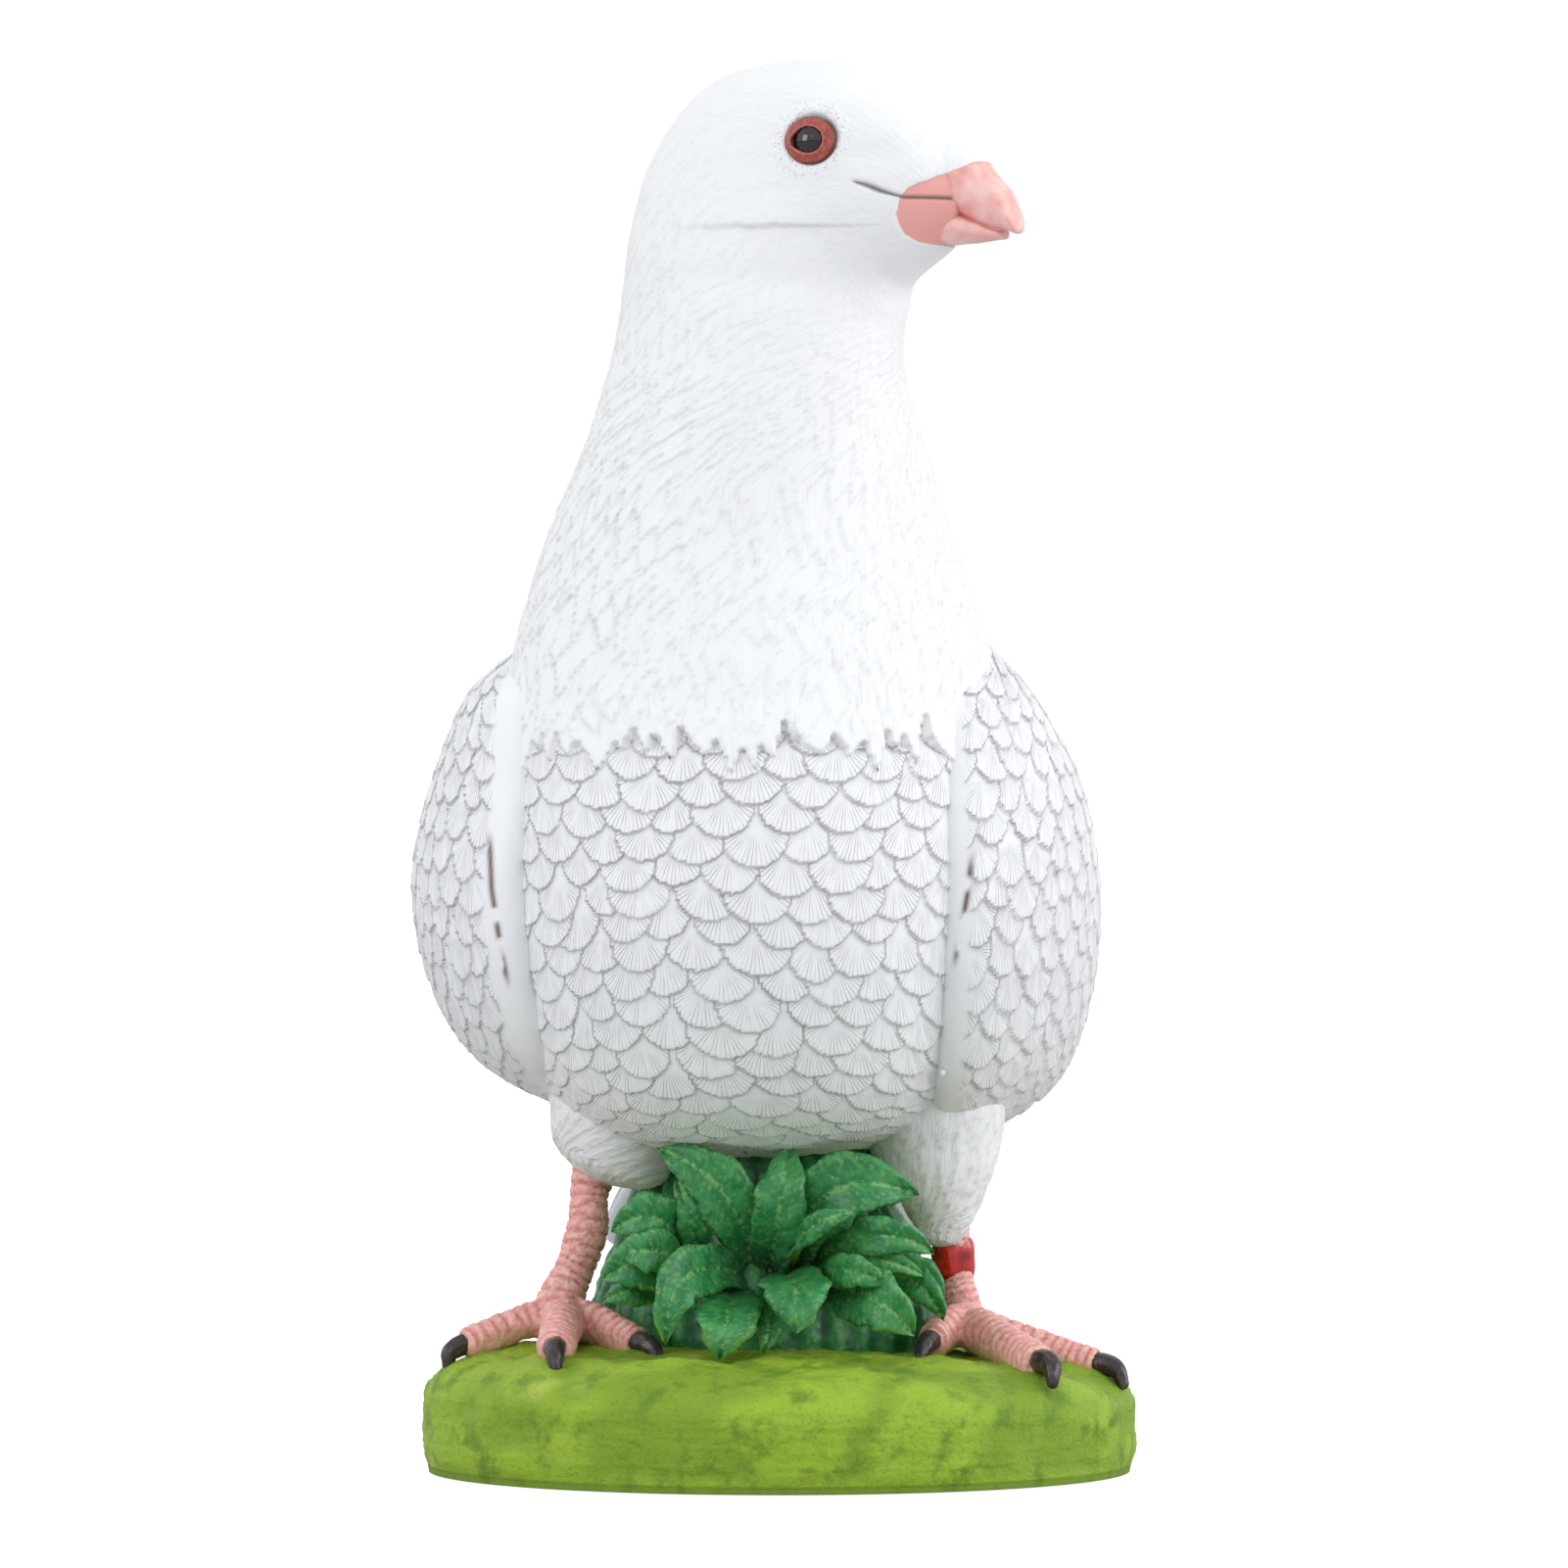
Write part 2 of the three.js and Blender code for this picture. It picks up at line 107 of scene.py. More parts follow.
def along(table: Sequence[Sequence[float]], s: Array) -> Array:
    """Uniform cubic through the rows of a table.

    Args:
        table: rows of numbers, row i at s = i.
        s: places, from 0 to the last row.

    Returns:
        One row of numbers for each place, on a last axis.
    """
    rows = np.asarray(table, float)
    rows = np.vstack([2 * rows[0] - rows[1], rows, 2 * rows[-1] - rows[-2]])
    i = np.clip(np.floor(s).astype(int), 0, len(table) - 2)
    x = (np.asarray(s) - i)[..., None]
    a, b, c, d = (rows[i + k] for k in range(4))
    return 0.5 * (2 * b + (c - a) * x + (2 * a - 5 * b + 4 * c - d) * x**2 + (3 * b - a - 3 * c + d) * x**3)


def graded(places: Sequence[float], densities: Sequence[float], count: int, closed: bool = False) -> Array:
    """Values that run from the first place to the last and crowd where the density is high.

    Args:
        places: rising values.
        densities: how many values fall near each place, in proportion.
        count: how many values to give.
        closed: leaves out the last place, for a loop.

    Returns:
        The values, spaced so that each step holds the same share of the summed density.
    """
    fine = np.linspace(places[0], places[-1], 4000)
    share = np.cumsum(np.interp(fine, places, densities))
    share = (share - share[0]) / (share[-1] - share[0])
    return np.interp(np.linspace(0.0, 1.0, count, endpoint=not closed), share, fine)


def squared(angle: Array, power: Array) -> tuple[Array, Array]:
    """Cosine and sine pushed out to a squarer outline: their signs times their sizes to the power 2 / power."""
    cosine, sine = np.cos(angle), np.sin(angle)
    cosine = np.sign(cosine) * np.abs(cosine) ** (2.0 / power)
    return cosine, np.sign(sine) * np.abs(sine) ** (2.0 / power)


def outward(grid: Array) -> Array:
    """Unit normals of a grid whose columns close on themselves.

    The normal is the cross product of the central differences down and across, with its sign chosen so that most
    point away from the middles of their rows.
    """
    down = np.gradient(grid, axis=0)
    across = np.roll(grid, -1, axis=1) - np.roll(grid, 1, axis=1)
    normal = np.cross(down, across)
    normal /= np.linalg.norm(normal, axis=2, keepdims=True) + 1e-9
    spokes = grid - grid.mean(axis=1, keepdims=True)
    return normal * np.sign(np.sum(normal * spokes))


def girth(grid: Array, column: int) -> Array:
    """Length along each row of a grid, measured from one column: the running sum of its steps."""
    steps = np.linalg.norm(np.diff(grid, axis=1), axis=2)
    run = np.concatenate([np.zeros((len(grid), 1)), np.cumsum(steps, axis=1)], axis=1)
    return run - run[:, column:column + 1]


def lengthwise(line: Array) -> Array:
    """Length along a line of points: the running sum of its steps."""
    return np.concatenate([[0.0], np.cumsum(np.linalg.norm(np.diff(line, axis=0), axis=1))])


@dataclass(frozen=True)
class Grain:
    """Seeded lattice noise in space."""

    seed: int
    cells: int = 32

    def at(self, points: Array, size: float | tuple[float, float, float], octaves: int = 1) -> Array:
        """Random corner values of cubes, blended by 3tt - 2ttt; each octave halves both cubes and height.

        Args:
            points: places, with x, y and z on the last axis.
            size: edge of the cubes, or one for each axis.
            octaves: layers to add.

        Returns:
            Values of about -1 to 1, one for each place.
        """
        corners = np.random.default_rng(self.seed).uniform(-1.0, 1.0, (self.cells,) * 3)
        total = np.zeros(points.shape[:-1])
        for octave in range(octaves):
            place = points / np.asarray(size, float) * 2**octave + 7.31 * octave
            cell = np.floor(place).astype(int)
            t = place - cell
            t = t * t * (3.0 - 2.0 * t)
            for corner in product((0, 1), repeat=3):
                weight = np.prod(np.where(corner, t, 1.0 - t), axis=-1)
                i, j, k = np.moveaxis((cell + corner) % self.cells, -1, 0)
                total += corners[i, j, k] * weight / 2**octave
        return total


@dataclass(frozen=True)
class Axis:
    """An upright axis that a sub-assembly turns about, with its turn in degrees."""

    x: float
    y: float
    yaw: float

    def place(self, forward: Array, right: Array, up: Array) -> Array:
        """Points given by their reach forward, their reach to the bird's right and their height."""
        return turned(self.x, self.y, self.yaw, forward, right, up)

    def local(self, points: Array) -> tuple[Array, Array, Array]:
        """Reach forward, reach to the bird's right and height of points: the inverse of place."""
        c, s = math.cos(math.radians(self.yaw)), math.sin(math.radians(self.yaw))
        x, y = points[..., 0] - self.x, points[..., 1] - self.y
        return s * x - c * y, -c * x - s * y, points[..., 2]


def turned(x: Array, y: Array, yaw: Array, forward: Array, right: Array, up: Array) -> Array:
    """Points on an axis at x and y: forward is (sin yaw, -cos yaw) and right is (-cos yaw, -sin yaw)."""
    c, s = np.cos(np.radians(yaw)), np.sin(np.radians(yaw))
    return np.stack(np.broadcast_arrays(x + s * forward - c * right, y - c * forward - s * right, up), axis=-1)


HEAD = Axis(-3.8, 2.0, 65.0)
TRUNK = Axis(-5.4, 0.0, -5.0)


@dataclass
class Shell:
    """A closed skin: points in millimetres, its faces, and values on its points."""

    points: Array
    quads: Array
    tris: Array
    fields: dict[str, Array]

    @staticmethod
    def around(grid: Array, fields: dict[str, Array] | None = None) -> "Shell":
        """Closed skin over a grid whose columns close on themselves, with a pole at the middle of each end row.

        Args:
            grid: points by row and column.
            fields: values by row and column, with a last axis of three for a vector.

        Returns:
            The shell, with its faces pointing out.
        """
        rows, columns, _ = grid.shape
        index = np.arange(rows * columns).reshape(rows, columns)
        ahead = np.roll(index, -1, axis=1)
        quads = np.stack([index[:-1], ahead[:-1], ahead[1:], index[1:]], axis=-1).reshape(-1, 4)
        pole = np.full(columns, rows * columns)
        tris = np.vstack([np.stack([pole, ahead[0], index[0]], -1), np.stack([pole + 1, index[-1], ahead[-1]], -1)])
        points = np.vstack([grid.reshape(-1, 3), grid[0].mean(0), grid[-1].mean(0)])
        flat = {}
        for name, values in (fields or {}).items():
            ends = np.stack([values[0].mean(0), values[-1].mean(0)])
            flat[name] = np.concatenate([values.reshape(rows * columns, *values.shape[2:]), ends])
        shell = Shell(points, quads, tris, flat)
        if shell.volume() < 0:
            shell.quads, shell.tris = quads[:, ::-1], tris[:, ::-1]
        return shell

    def volume(self) -> float:
        """Enclosed volume: a sixth of the sum of the triple products of all triangles."""
        tris = np.vstack([self.quads[:, :3], self.quads[:, [0, 2, 3]], self.tris])
        a, b, c = (self.points[tris[:, k]] for k in range(3))
        return float(np.sum(a * np.cross(b, c)) / 6.0)

    def count(self) -> int:
        """Number of triangles."""
        return 2 * len(self.quads) + len(self.tris)

    def build(self, name: str) -> bpy.types.Object:
        """Makes the mesh object in metres, smooth shaded, with its values as point attributes."""
        mesh = bpy.data.meshes.new(name)
        corners = np.concatenate([self.quads.ravel(), self.tris.ravel()]).astype(np.int32)
        starts = np.concatenate([np.arange(len(self.quads)) * 4, self.quads.size + np.arange(len(self.tris)) * 3])
        mesh.vertices.add(len(self.points))
        mesh.vertices.foreach_set("co", (self.points * MM).ravel())
        mesh.loops.add(len(corners))
        mesh.loops.foreach_set("vertex_index", corners)
        mesh.polygons.add(len(starts))
        mesh.polygons.foreach_set("loop_start", starts.astype(np.int32))
        mesh.polygons.foreach_set("use_smooth", np.ones(len(starts), bool))
        mesh.update(calc_edges=True)
        for field_name, values in self.fields.items():
            kind, slot = ("FLOAT_VECTOR", "vector") if values.ndim == 2 else ("FLOAT", "value")
            attribute = mesh.attributes.new(field_name, kind, "POINT")
            attribute.data.foreach_set(slot, np.ascontiguousarray(values, np.float32).ravel())
        piece = bpy.data.objects.new(name, mesh)
        bpy.context.scene.collection.objects.link(piece)
        return piece


def joined(shells: Sequence[Shell]) -> Shell:
    """Several shells as one, with their points one after the other."""
    starts = np.cumsum([0] + [len(shell.points) for shell in shells[:-1]])
    fields = {
        name: np.concatenate([shell.fields[name] for shell in shells]) for name in shells[0].fields
    }
    return Shell(
        np.vstack([shell.points for shell in shells]),
        np.vstack([shell.quads + start for shell, start in zip(shells, starts)]),
        np.vstack([shell.tris + start for shell, start in zip(shells, starts)]),
        fields,
    )


def melted(shells: Sequence[Shell], voxel: float, relax: int) -> tuple[Shell, Array]:
    """One skin over overlapping shells: a voxel remesh of their union, relaxed so that its hollows are round.

    Args:
        shells: closed shells that run into each other.
        voxel: edge of a cell in millimetres.
        relax: steps of smoothing.

    Returns:
        The new shell, without values, and its unit normals.
    """
    plain = [Shell(shell.points, shell.quads, shell.tris, {}) for shell in shells]
    draft = joined(plain).build("draft")
    melt = draft.modifiers.new("melt", "REMESH")
    melt.mode = "VOXEL"
    melt.voxel_size = voxel * MM
    ease = draft.modifiers.new("ease", "SMOOTH")
    ease.factor = 0.5
    ease.iterations = relax
    mesh = bpy.data.meshes.new_from_object(draft.evaluated_get(bpy.context.evaluated_depsgraph_get()))
    points = np.empty(3 * len(mesh.vertices), np.float32)
    normals = np.empty(3 * len(mesh.vertices), np.float32)
    corners = np.empty(len(mesh.loops), np.int32)
    mesh.vertices.foreach_get("co", points)
    mesh.vertex_normals.foreach_get("vector", normals)
    mesh.loops.foreach_get("vertex_index", corners)
    bpy.data.meshes.remove(mesh)
    bpy.data.meshes.remove(draft.data)
    shell = Shell(points.reshape(-1, 3) / MM, corners.reshape(-1, 4), np.empty((0, 3), np.int32), {})
    return shell, normals.reshape(-1, 3)


@dataclass(frozen=True)
class Laid:
    """What a row of feathers gives each point: height 0 to 1, a mask for painted shade under the edges, barbs, and bare
    points.
    """

    height: Array
    shaded_groove: Array
    vane: Array
    bare: Array


@dataclass(frozen=True)
class Feathers:
    """Rows of feathers or tufts that overlap like roof tiles, each row half a feather beside the last."""

    seed: int
    tip: Tip = Tip.ROUND
    depth: float = 1.1
    camber: float = 0.12
    stray: tuple[float, float] = (0.3, 0.3)
    barb: float = 1.05
    fan: float = 8.5
    last: int = 10000
    period: int = 0
    wide: float = 0.6

    def outline(self, x: Array) -> Array:
        """How far the tip draws back at x, from 0 at the middle to 1 at the side: an arc or a point."""
        x = np.clip(np.abs(x), 0.0, 1.0)
        if self.tip is Tip.ROUND:
            return 1.0 - np.sqrt(1.0 - x * x)
        return x**1.25

    def lay(self, across: Array, down: Array, width: Array, pitch: Array) -> Laid:
        """Finds the feather on top at each point, from the uppermost row to the lowest.

        A feather covers a point above its tip's outline. Its height grows from its root to its tip, and the point
        just past a tip belongs to the next row, so that every outline is a step. Barbs fan out from a point above
        the tip: their number is the angle about it times the fan's length over the gap between barbs.

        Args:
            across: places across the rows, in feather widths.
            down: places down the rows, in rows.
            width: millimetres in a feather width.
            pitch: millimetres in a row.

        Returns:
            The relief and the values that its paint needs.
        """
        chance = np.random.default_rng(self.seed).random((61, 61, 4))
        here = np.floor(down).astype(int)
        owned = np.zeros(down.shape, bool)
        height = np.zeros(down.shape)
        near = np.full(down.shape, 9.0)
        vane = np.zeros(down.shape + (3,))
        for lift, odd in product(range(-1, 4), (0, 1)):
            row = here + lift
            shift = 0.5 * (row % 2)
            left = np.floor(across - shift).astype(int)
            k = left + (left + odd) % 2
            turn = k % self.period if self.period else k
            luck = chance[row % 61, turn % 61]
            middle = k + shift + self.stray[0] * (luck[..., 0] - 0.5)
            x = (across - middle) / (self.wide + 0.12 * (luck[..., 1] - 0.5))
            crown = row + 1 + self.stray[1] * (luck[..., 2] - 0.5)
            edge = crown - self.depth * self.outline(x)
            there = (np.abs(x) < 1.0) & (row <= self.last) & ~owned
            over = there & (down < edge)
            t = np.clip(1.0 - (edge - down) / 1.7, 0.0, 1.0)
            angle = np.arctan2((across - middle) * width, self.fan - (crown - down) * pitch)
            height = np.where(over, 0.15 + 0.85 * t**1.6 + self.camber * (1.0 - x * x), height)
            fresh = np.stack([angle * self.fan / self.barb, t, luck[..., 3]], axis=-1)
            vane = np.where(over[..., None], fresh, vane)
            near = np.where(there & ~over, np.minimum(near, (down - edge) * pitch), near)
            owned |= over
        # The second value is a mask that fades below each covering edge, for painted shade there.
        return Laid(height, np.exp(-near / 0.55), vane, ~owned)


@dataclass(frozen=True)
class BodyForm:
    """Head, neck, breast and rump as one skin.

    Each row gives the reach and height of the throat or breast line, the reach and height of the crown or back
    line, the half width, the turn of the section, its axis and its squareness.
    """

    rows: tuple = (
        (43, 238, 45.5, 249, 5.5, 65, -3.8, 2, 2.1),
        (38, 234.5, 40.8, 256, 10.5, 65, -3.8, 2, 2.15),
        (33.5, 231.5, 33.2, 265.3, 14.5, 65, -3.8, 2, 2.2),
        (30.5, 229, 21.5, 271.5, 17.4, 65, -3.8, 2, 2.2),
        (29.5, 226.5, 7.5, 273, 18.8, 65, -3.8, 2, 2.2),
        (29.3, 224, -8.3, 269.3, 20, 65, -3.8, 2, 2.2),
        (29, 221, -19.5, 257.6, 22, 63, -3.8, 2, 2.1),
        (29, 217, -25.5, 242, 24.5, 55, -3.8, 2, 2),
        (29.5, 210, -28.5, 222, 27.2, 40, -3.8, 2, 2),
        (30.5, 198, -33, 202, 32.3, 22, -3.9, 1, 2),
        (34.5, 178, -38, 184, 39, 6, -5.2, 0, 2),
        (43, 157, -46, 167, 45, -3, -5.4, 0, 2),
        (52, 134, -56, 149, 49.5, -5, -5.4, 0, 2),
        (56, 112, -66, 132, 51, -5, -5.4, 0, 2.05),
        (53, 91, -75, 117, 50, -5, -5.4, 0, 2.1),
        (43, 74, -84, 104, 47.5, -5, -5.4, 0, 2.15),
        (26, 64.5, -93, 92, 43, -5, -5.4, 0, 2.2),
        (0, 60, -102, 81, 37, -4, -5.4, 0, 2.2),
        (-30, 55, -111, 71, 32, -3, -5.4, 0, 2.2),
        (-60, 49, -118, 62.5, 28, -2, -5.4, 0, 2.2),
        (-84, 46, -124, 56, 23, -1, -5.4, 0, 2.2),
        (-98, 47, -128, 52, 15, -1, -5.4, 0, 2.2),
    )

    def grid(self, s: Array, angle: Array) -> Array:
        """Points by row and column: ellipses pushed squarer, between the breast line and the back line.

        Args:
            s: rows, by their place in the table.
            angle: columns, 0 on the back, a quarter turn on the bird's right and a half turn on the breast.

        Returns:
            Points by row and column.
        """
        f0, z0, f1, z1, half, yaw, x, y, power = np.moveaxis(along(self.rows, s), -1, 0)[..., None]
        cosine, sine = squared(angle[None, :], power)
        forward = (f0 + f1) / 2 + (f1 - f0) / 2 * cosine
        return turned(x, y, yaw, forward, half * sine, (z0 + z1) / 2 + (z1 - z0) / 2 * cosine)

    def even_rows(self, start: float, stop: float, count: int) -> Array:
        """Rows with equal steps along the mean of the breast line and the back line."""
        fine = np.linspace(start, stop, 800)
        lines = self.grid(fine, np.array([0.0, math.pi]))
        run = (lengthwise(lines[:, 0]) + lengthwise(lines[:, 1])) / 2
        return np.interp(np.linspace(0.0, run[-1], count), run, fine)


FORM = BodyForm()


@dataclass(frozen=True)
class PaintEdge:
    """Edge between the pink bill and the white face: how far forward it lies at each height of the head."""

    heights: tuple = (226, 232, 235.6, 236.3, 236.8, 238.2, 242.3, 245, 247.1, 249.6, 253, 256.5)
    reaches: tuple = (49, 48, 45.5, 40, 37.5, 35.5, 35, 35.7, 37.4, 41.6, 48.8, 56)

    def pink(self, points: Array) -> Array:
        """Signed distance in millimetres past the edge, positive on the pink side and a little ragged."""
        forward, _, up = HEAD.local(points)
        ragged = 0.25 * Grain(5).at(points, 2.2, 2)
        return (forward - np.interp(up, self.heights, self.reaches)) * 0.85 + ragged


@dataclass(frozen=True)
class EyePlace:
    """Where an eye sits in the head, with the outlines of its lid."""

    forward: float = 19.2
    up: float = 256.4
    inward: float = 15.4
    bead: float = 4.5
    cheek: float = 17.6

    def polar(self, points: Array) -> tuple[Array, Array]:
        """Distance and angle of points about the eye, seen square to the side of the head."""
        forward, _, up = HEAD.local(points)
        return np.hypot(forward - self.forward, up - self.up), np.arctan2(up - self.up, forward - self.forward)

    def opening(self, angle: Array) -> Array:
        """Radius of the lid's inner edge: an oval drawn out to a point at the back."""
        return 2.75 + 0.25 * np.cos(2 * angle) + 0.75 * bell(np.angle(np.exp(1j * (angle - 3.25))), 0.42)

    def rim(self, angle: Array) -> Array:
        """Radius of the lid's outer edge: an egg, longer and lower at the back."""
        return 4.85 + 0.32 * np.cos(2 * angle) + 0.42 * bell(np.angle(np.exp(1j * (angle - 3.5))), 0.8)


EYE = EyePlace()


@dataclass(frozen=True)
class HeadAndNeck:
    """Head and neck in fine tufts, down to the ragged hem of the ruff."""

    rows: int = 316
    columns: int = 300
    stop: float = 12.55
    hem: float = 137.5
    tufts: int = 58
    flow_radius: float = 30.0
    mouth: tuple = ((27.6, 248.3), (30.0, 247.6), (33.0, 246.3), (36.5, 245.2))

    def shell(self) -> Shell:
        """The skin with its tufts, strokes, eye hollow and mouth line.

        Heights are summed in millimetres: tufts that grow from the crown to the ruff, long strokes of noise that
        follow the columns, and the few marks of the face. Past the hem the skin dives under the breast.
        """
        s = FORM.even_rows(0.0, self.stop, self.rows)
        angle = graded((0, 0.35, 4.1, 4.6, FULL_TURN), (0.75, 1.25, 1.25, 0.7, 0.7), self.columns, closed=True)
        base = FORM.grid(s, angle)
        normal = outward(base)
        up = base[..., 2]
        lines = FORM.grid(s, np.array([0.0, math.pi]))
        run = ((lengthwise(lines[:, 0]) + lengthwise(lines[:, 1])) / 2)[:, None]
        level = float(np.interp(170.0, lines[::-1, :, 2].mean(axis=1), run[::-1, 0]))
        blend = smooth(186.0, 160.0, up)
        down = (1.0 - blend) * run + blend * (level + (170.0 - up) * 1.04)
        around = np.broadcast_to(angle, up.shape)
        wander = Grain(11).at(base, 16.0, 2)
        slant = around + 0.075 * wander * smooth(12.0, 60.0, down)
        lag = down + 1.6 * Grain(12).at(base, 14.0)
        flow = np.stack([self.flow_radius * np.cos(slant), self.flow_radius * np.sin(slant), lag], axis=-1)
        fine = np.linspace(-10.0, 200.0, 900)
        count = np.cumsum((fine[1] - fine[0]) / (3.2 + 3.4 * smooth(25.0, 125.0, fine)))
        hem_row = math.floor(np.interp(level + (170.0 - self.hem) * 1.04, fine, count)) - 1
        tufts = Feathers(21, Tip.POINTED, depth=1.45, camber=0.35, stray=(0.7, 0.9), last=hem_row,
                         period=self.tufts, wide=0.78)
        width = np.linalg.norm(np.roll(base, -1, 1) - base, axis=2).sum(1)[:, None] / self.tufts
        laid = tufts.lay(slant * self.tufts / FULL_TURN, np.interp(lag, fine, count), width, 5.5)
        shag = smooth(20.0, 118.0, down)
        front = 0.55 + 0.45 * smooth(0.2, -0.5, normal[..., 0] - 0.25 * normal[..., 1])
        strokes = Grain(13).at(flow, (1.25, 1.25, 9.0), 2) + 0.5 * Grain(14).at(flow, (2.6, 2.6, 12.0))
        height = (0.10 + 0.62 * shag**1.5) * (laid.height - 0.4) * front
        height += strokes * (0.045 + 0.13 * shag) * front
        face, marks = self.marks(base)
        pink = PaintEdge().pink(base)
        bill = smooth(-0.6, 0.4, pink)
        height = height * (1.0 - face) * (1.0 - bill) + marks - 0.3 * bill
        height += 0.45 * smooth(150.0, 141.0, up)
        height -= 3.4 * smooth(0.0, 1.0, laid.bare.astype(float))
        # Grey painted shade along the mouth line.
        stain_and_mouth_shade = self.mouth_line(base)[1]
        # Mask for painted shade under the tuft edges, weaker on the +X side of the neck and on the face.
        shaded_groove = laid.shaded_groove * (0.25 + 0.75 * shag) * front * (1.0 - face)
        fields = {"shaded_groove": shaded_groove, "stain_and_mouth_shade": stain_and_mouth_shade, "pink": pink, "flow": flow, "face": face,
                  "coarse": 0.25 + 0.75 * smooth(60.0, 140.0, down)}
        return Shell.around(base + normal * height[..., None], fields)

    def marks(self, base: Array) -> tuple[Array, Array]:
        """Smooth zone about each eye, and the heights of the eye hollow, its ring, the mouth and the cheek.

        Args:
            base: points of the head before any relief.

        Returns:
            How far the tufts give way to the face, and the heights to add in millimetres.
        """
        distance, _ = EYE.polar(base)
        forward, right, up = HEAD.local(base)
        side = smooth(6.0, 12.0, np.abs(right)) * (up > 240.0)
        face = side * smooth(9.5, 6.0, distance)
        pits = Grain(31).at(base, 0.8, 2) * 0.14 * smooth(4.6, 5.6, distance) * smooth(9.8, 7.4, distance) * side
        ring = 0.35 * bell(distance - 6.0, 1.3) * side
        hollow = -1.9 * smooth(5.2, 4.2, distance) * side
        brow = 0.5 * bell(forward - 22.0, 9.0) * bell(up - 263.5, 3.0) * side
        lore = -0.55 * bell(forward - 31.0, 5.0) * bell(up - 253.5, 3.2) * side
        cheek = 0.9 * bell(forward - 12.0, 14.0) * bell(up - 240.5, 6.0) * side
        jaw = -0.6 * bell(forward - 8.0, 16.0) * bell(up - 229.5, 3.5) * smooth(4.0, 14.0, np.abs(right))
        return face, pits + ring + hollow + brow + lore + cheek + jaw + self.mouth_line(base)[0]

    def mouth_line(self, base: Array) -> tuple[Array, Array]:
        """Depth of the mouth line behind the bill, and its grey stain: bells about a line drawn in side view."""
        forward, right, up = HEAD.local(base)
        line_f, line_z = np.array(self.mouth).T
        offset = up - np.interp(forward, line_f, line_z)
        reach = smooth(line_f[0] - 0.6, line_f[0] + 1.0, forward) * smooth(3.0, 6.0, np.abs(right))
        wide = 0.32 + 0.3 * bell(forward - 31.5, 2.2)
        # Depth of the mouth line behind the bill, and the grey painted shade along it: bells about a line drawn in side
        # view.
        return -0.8 * bell(offset / wide, 1.0) * reach, bell(offset / (0.9 * wide), 1.0) * reach


@dataclass(frozen=True)
class Crease:
    """The line where a wing meets the breast, seen from the front, with its unpainted brown seam."""

    heights: tuple
    across: tuple
    brown: tuple[float, float]

    def stain_and_mouth_shade(self, points: Array) -> Array:
        """Brown seam: a bell of the distance across from the line, broken up by noise, on the front only."""
        up = points[..., 2]
        offset = points[..., 0] - np.interp(up, self.heights, self.across)
        low, high = self.brown
        span = smooth(low - 3.0, low + 2.0, up) * smooth(high + 3.0, high - 2.0, up)
        broken = smooth(-0.5, 0.1, Grain(41).at(points, 3.0, 2))
        return bell(offset, 0.55) * span * broken * (points[..., 1] < 12.0)


RIGHT_CREASE = Crease((79, 87, 95, 103, 113, 124, 135), (-47.7, -50.5, -51.9, -53.4, -54.9, -55.4, -56.3), (96, 122))
LEFT_CREASE = Crease((70, 84, 93, 102, 113, 124, 135), (34.9, 31.2, 32.1, 34.0, 35.9, 36.9, 38.4), (100, 118))


@dataclass(frozen=True)
class Breast:
    """The breast in rows of round fans, from under the ruff down to the belly."""

    rows: int = 262
    columns: int = 356
    start: float = 11.25
    stop: float = 17.7
    feather: float = 10.4
    pitch: float = 5.35
    top: float = 139.0
    last: int = 19

    def shell(self) -> Shell:
        """The skin with its fans: one step of relief for each feather outline, and shallow barbs."""
        s = FORM.even_rows(self.start, self.stop, self.rows)
        angle = graded((0, 1.15, 1.3, 5.0, 5.13, FULL_TURN), (0.12, 0.12, 1.3, 1.3, 0.12, 0.12), self.columns,
                       closed=True)
        base = FORM.grid(s, angle)
        normal = outward(base)
        up = base[..., 2]
        middle = int(np.argmin(np.abs(angle - math.pi)))
        across = girth(base, middle)
        keel = base[:, middle]
        run = (lengthwise(keel) - np.interp(-self.top, -keel[:, 2], lengthwise(keel)))[:, None]
        down = run + (keel[:, None, 2] - up)
        wander = Grain(51).at(base, 22.0)
        fans = Feathers(52, Tip.ROUND, depth=1.12, camber=0.16, stray=(0.34, 0.34), last=self.last)
        laid = fans.lay((across + 1.2 * wander) / self.feather, (down + 1.1 * Grain(53).at(base, 26.0)) / self.pitch,
                        self.feather, self.pitch)
        barbs = np.cos(FULL_TURN * laid.vane[..., 0]) * smooth(0.3, 0.7, laid.vane[..., 1])
        height = 0.62 * laid.height - 0.25 + 0.03 * barbs + 0.05 * Grain(54).at(base, 1.6, 2)
        height -= 1.6 * smooth(self.top - 1.0, self.top + 3.0, up)
        off = np.abs(angle - math.pi)[None, :]
        height -= 4.5 * smooth(1.72, 1.92, off) + 3.5 * laid.bare
        stain_and_mouth_shade = np.maximum(RIGHT_CREASE.stain_and_mouth_shade(base), LEFT_CREASE.stain_and_mouth_shade(base))
        specks = smooth(0.62, 0.8, Grain(55).at(base, 1.3, 2)) * bell(base[..., 0] + 8.0, 5.0) * bell(up - 63.0, 2.6)
        # The first value is painted grey as shade under each fan's edge; the brown seam and specks are the resin's own
        # colour.
        fields = {"shaded_groove": laid.shaded_groove, "stain_and_mouth_shade": np.maximum(stain_and_mouth_shade, specks), "vane": laid.vane}
        return Shell.around(base + normal * height[..., None], fields)


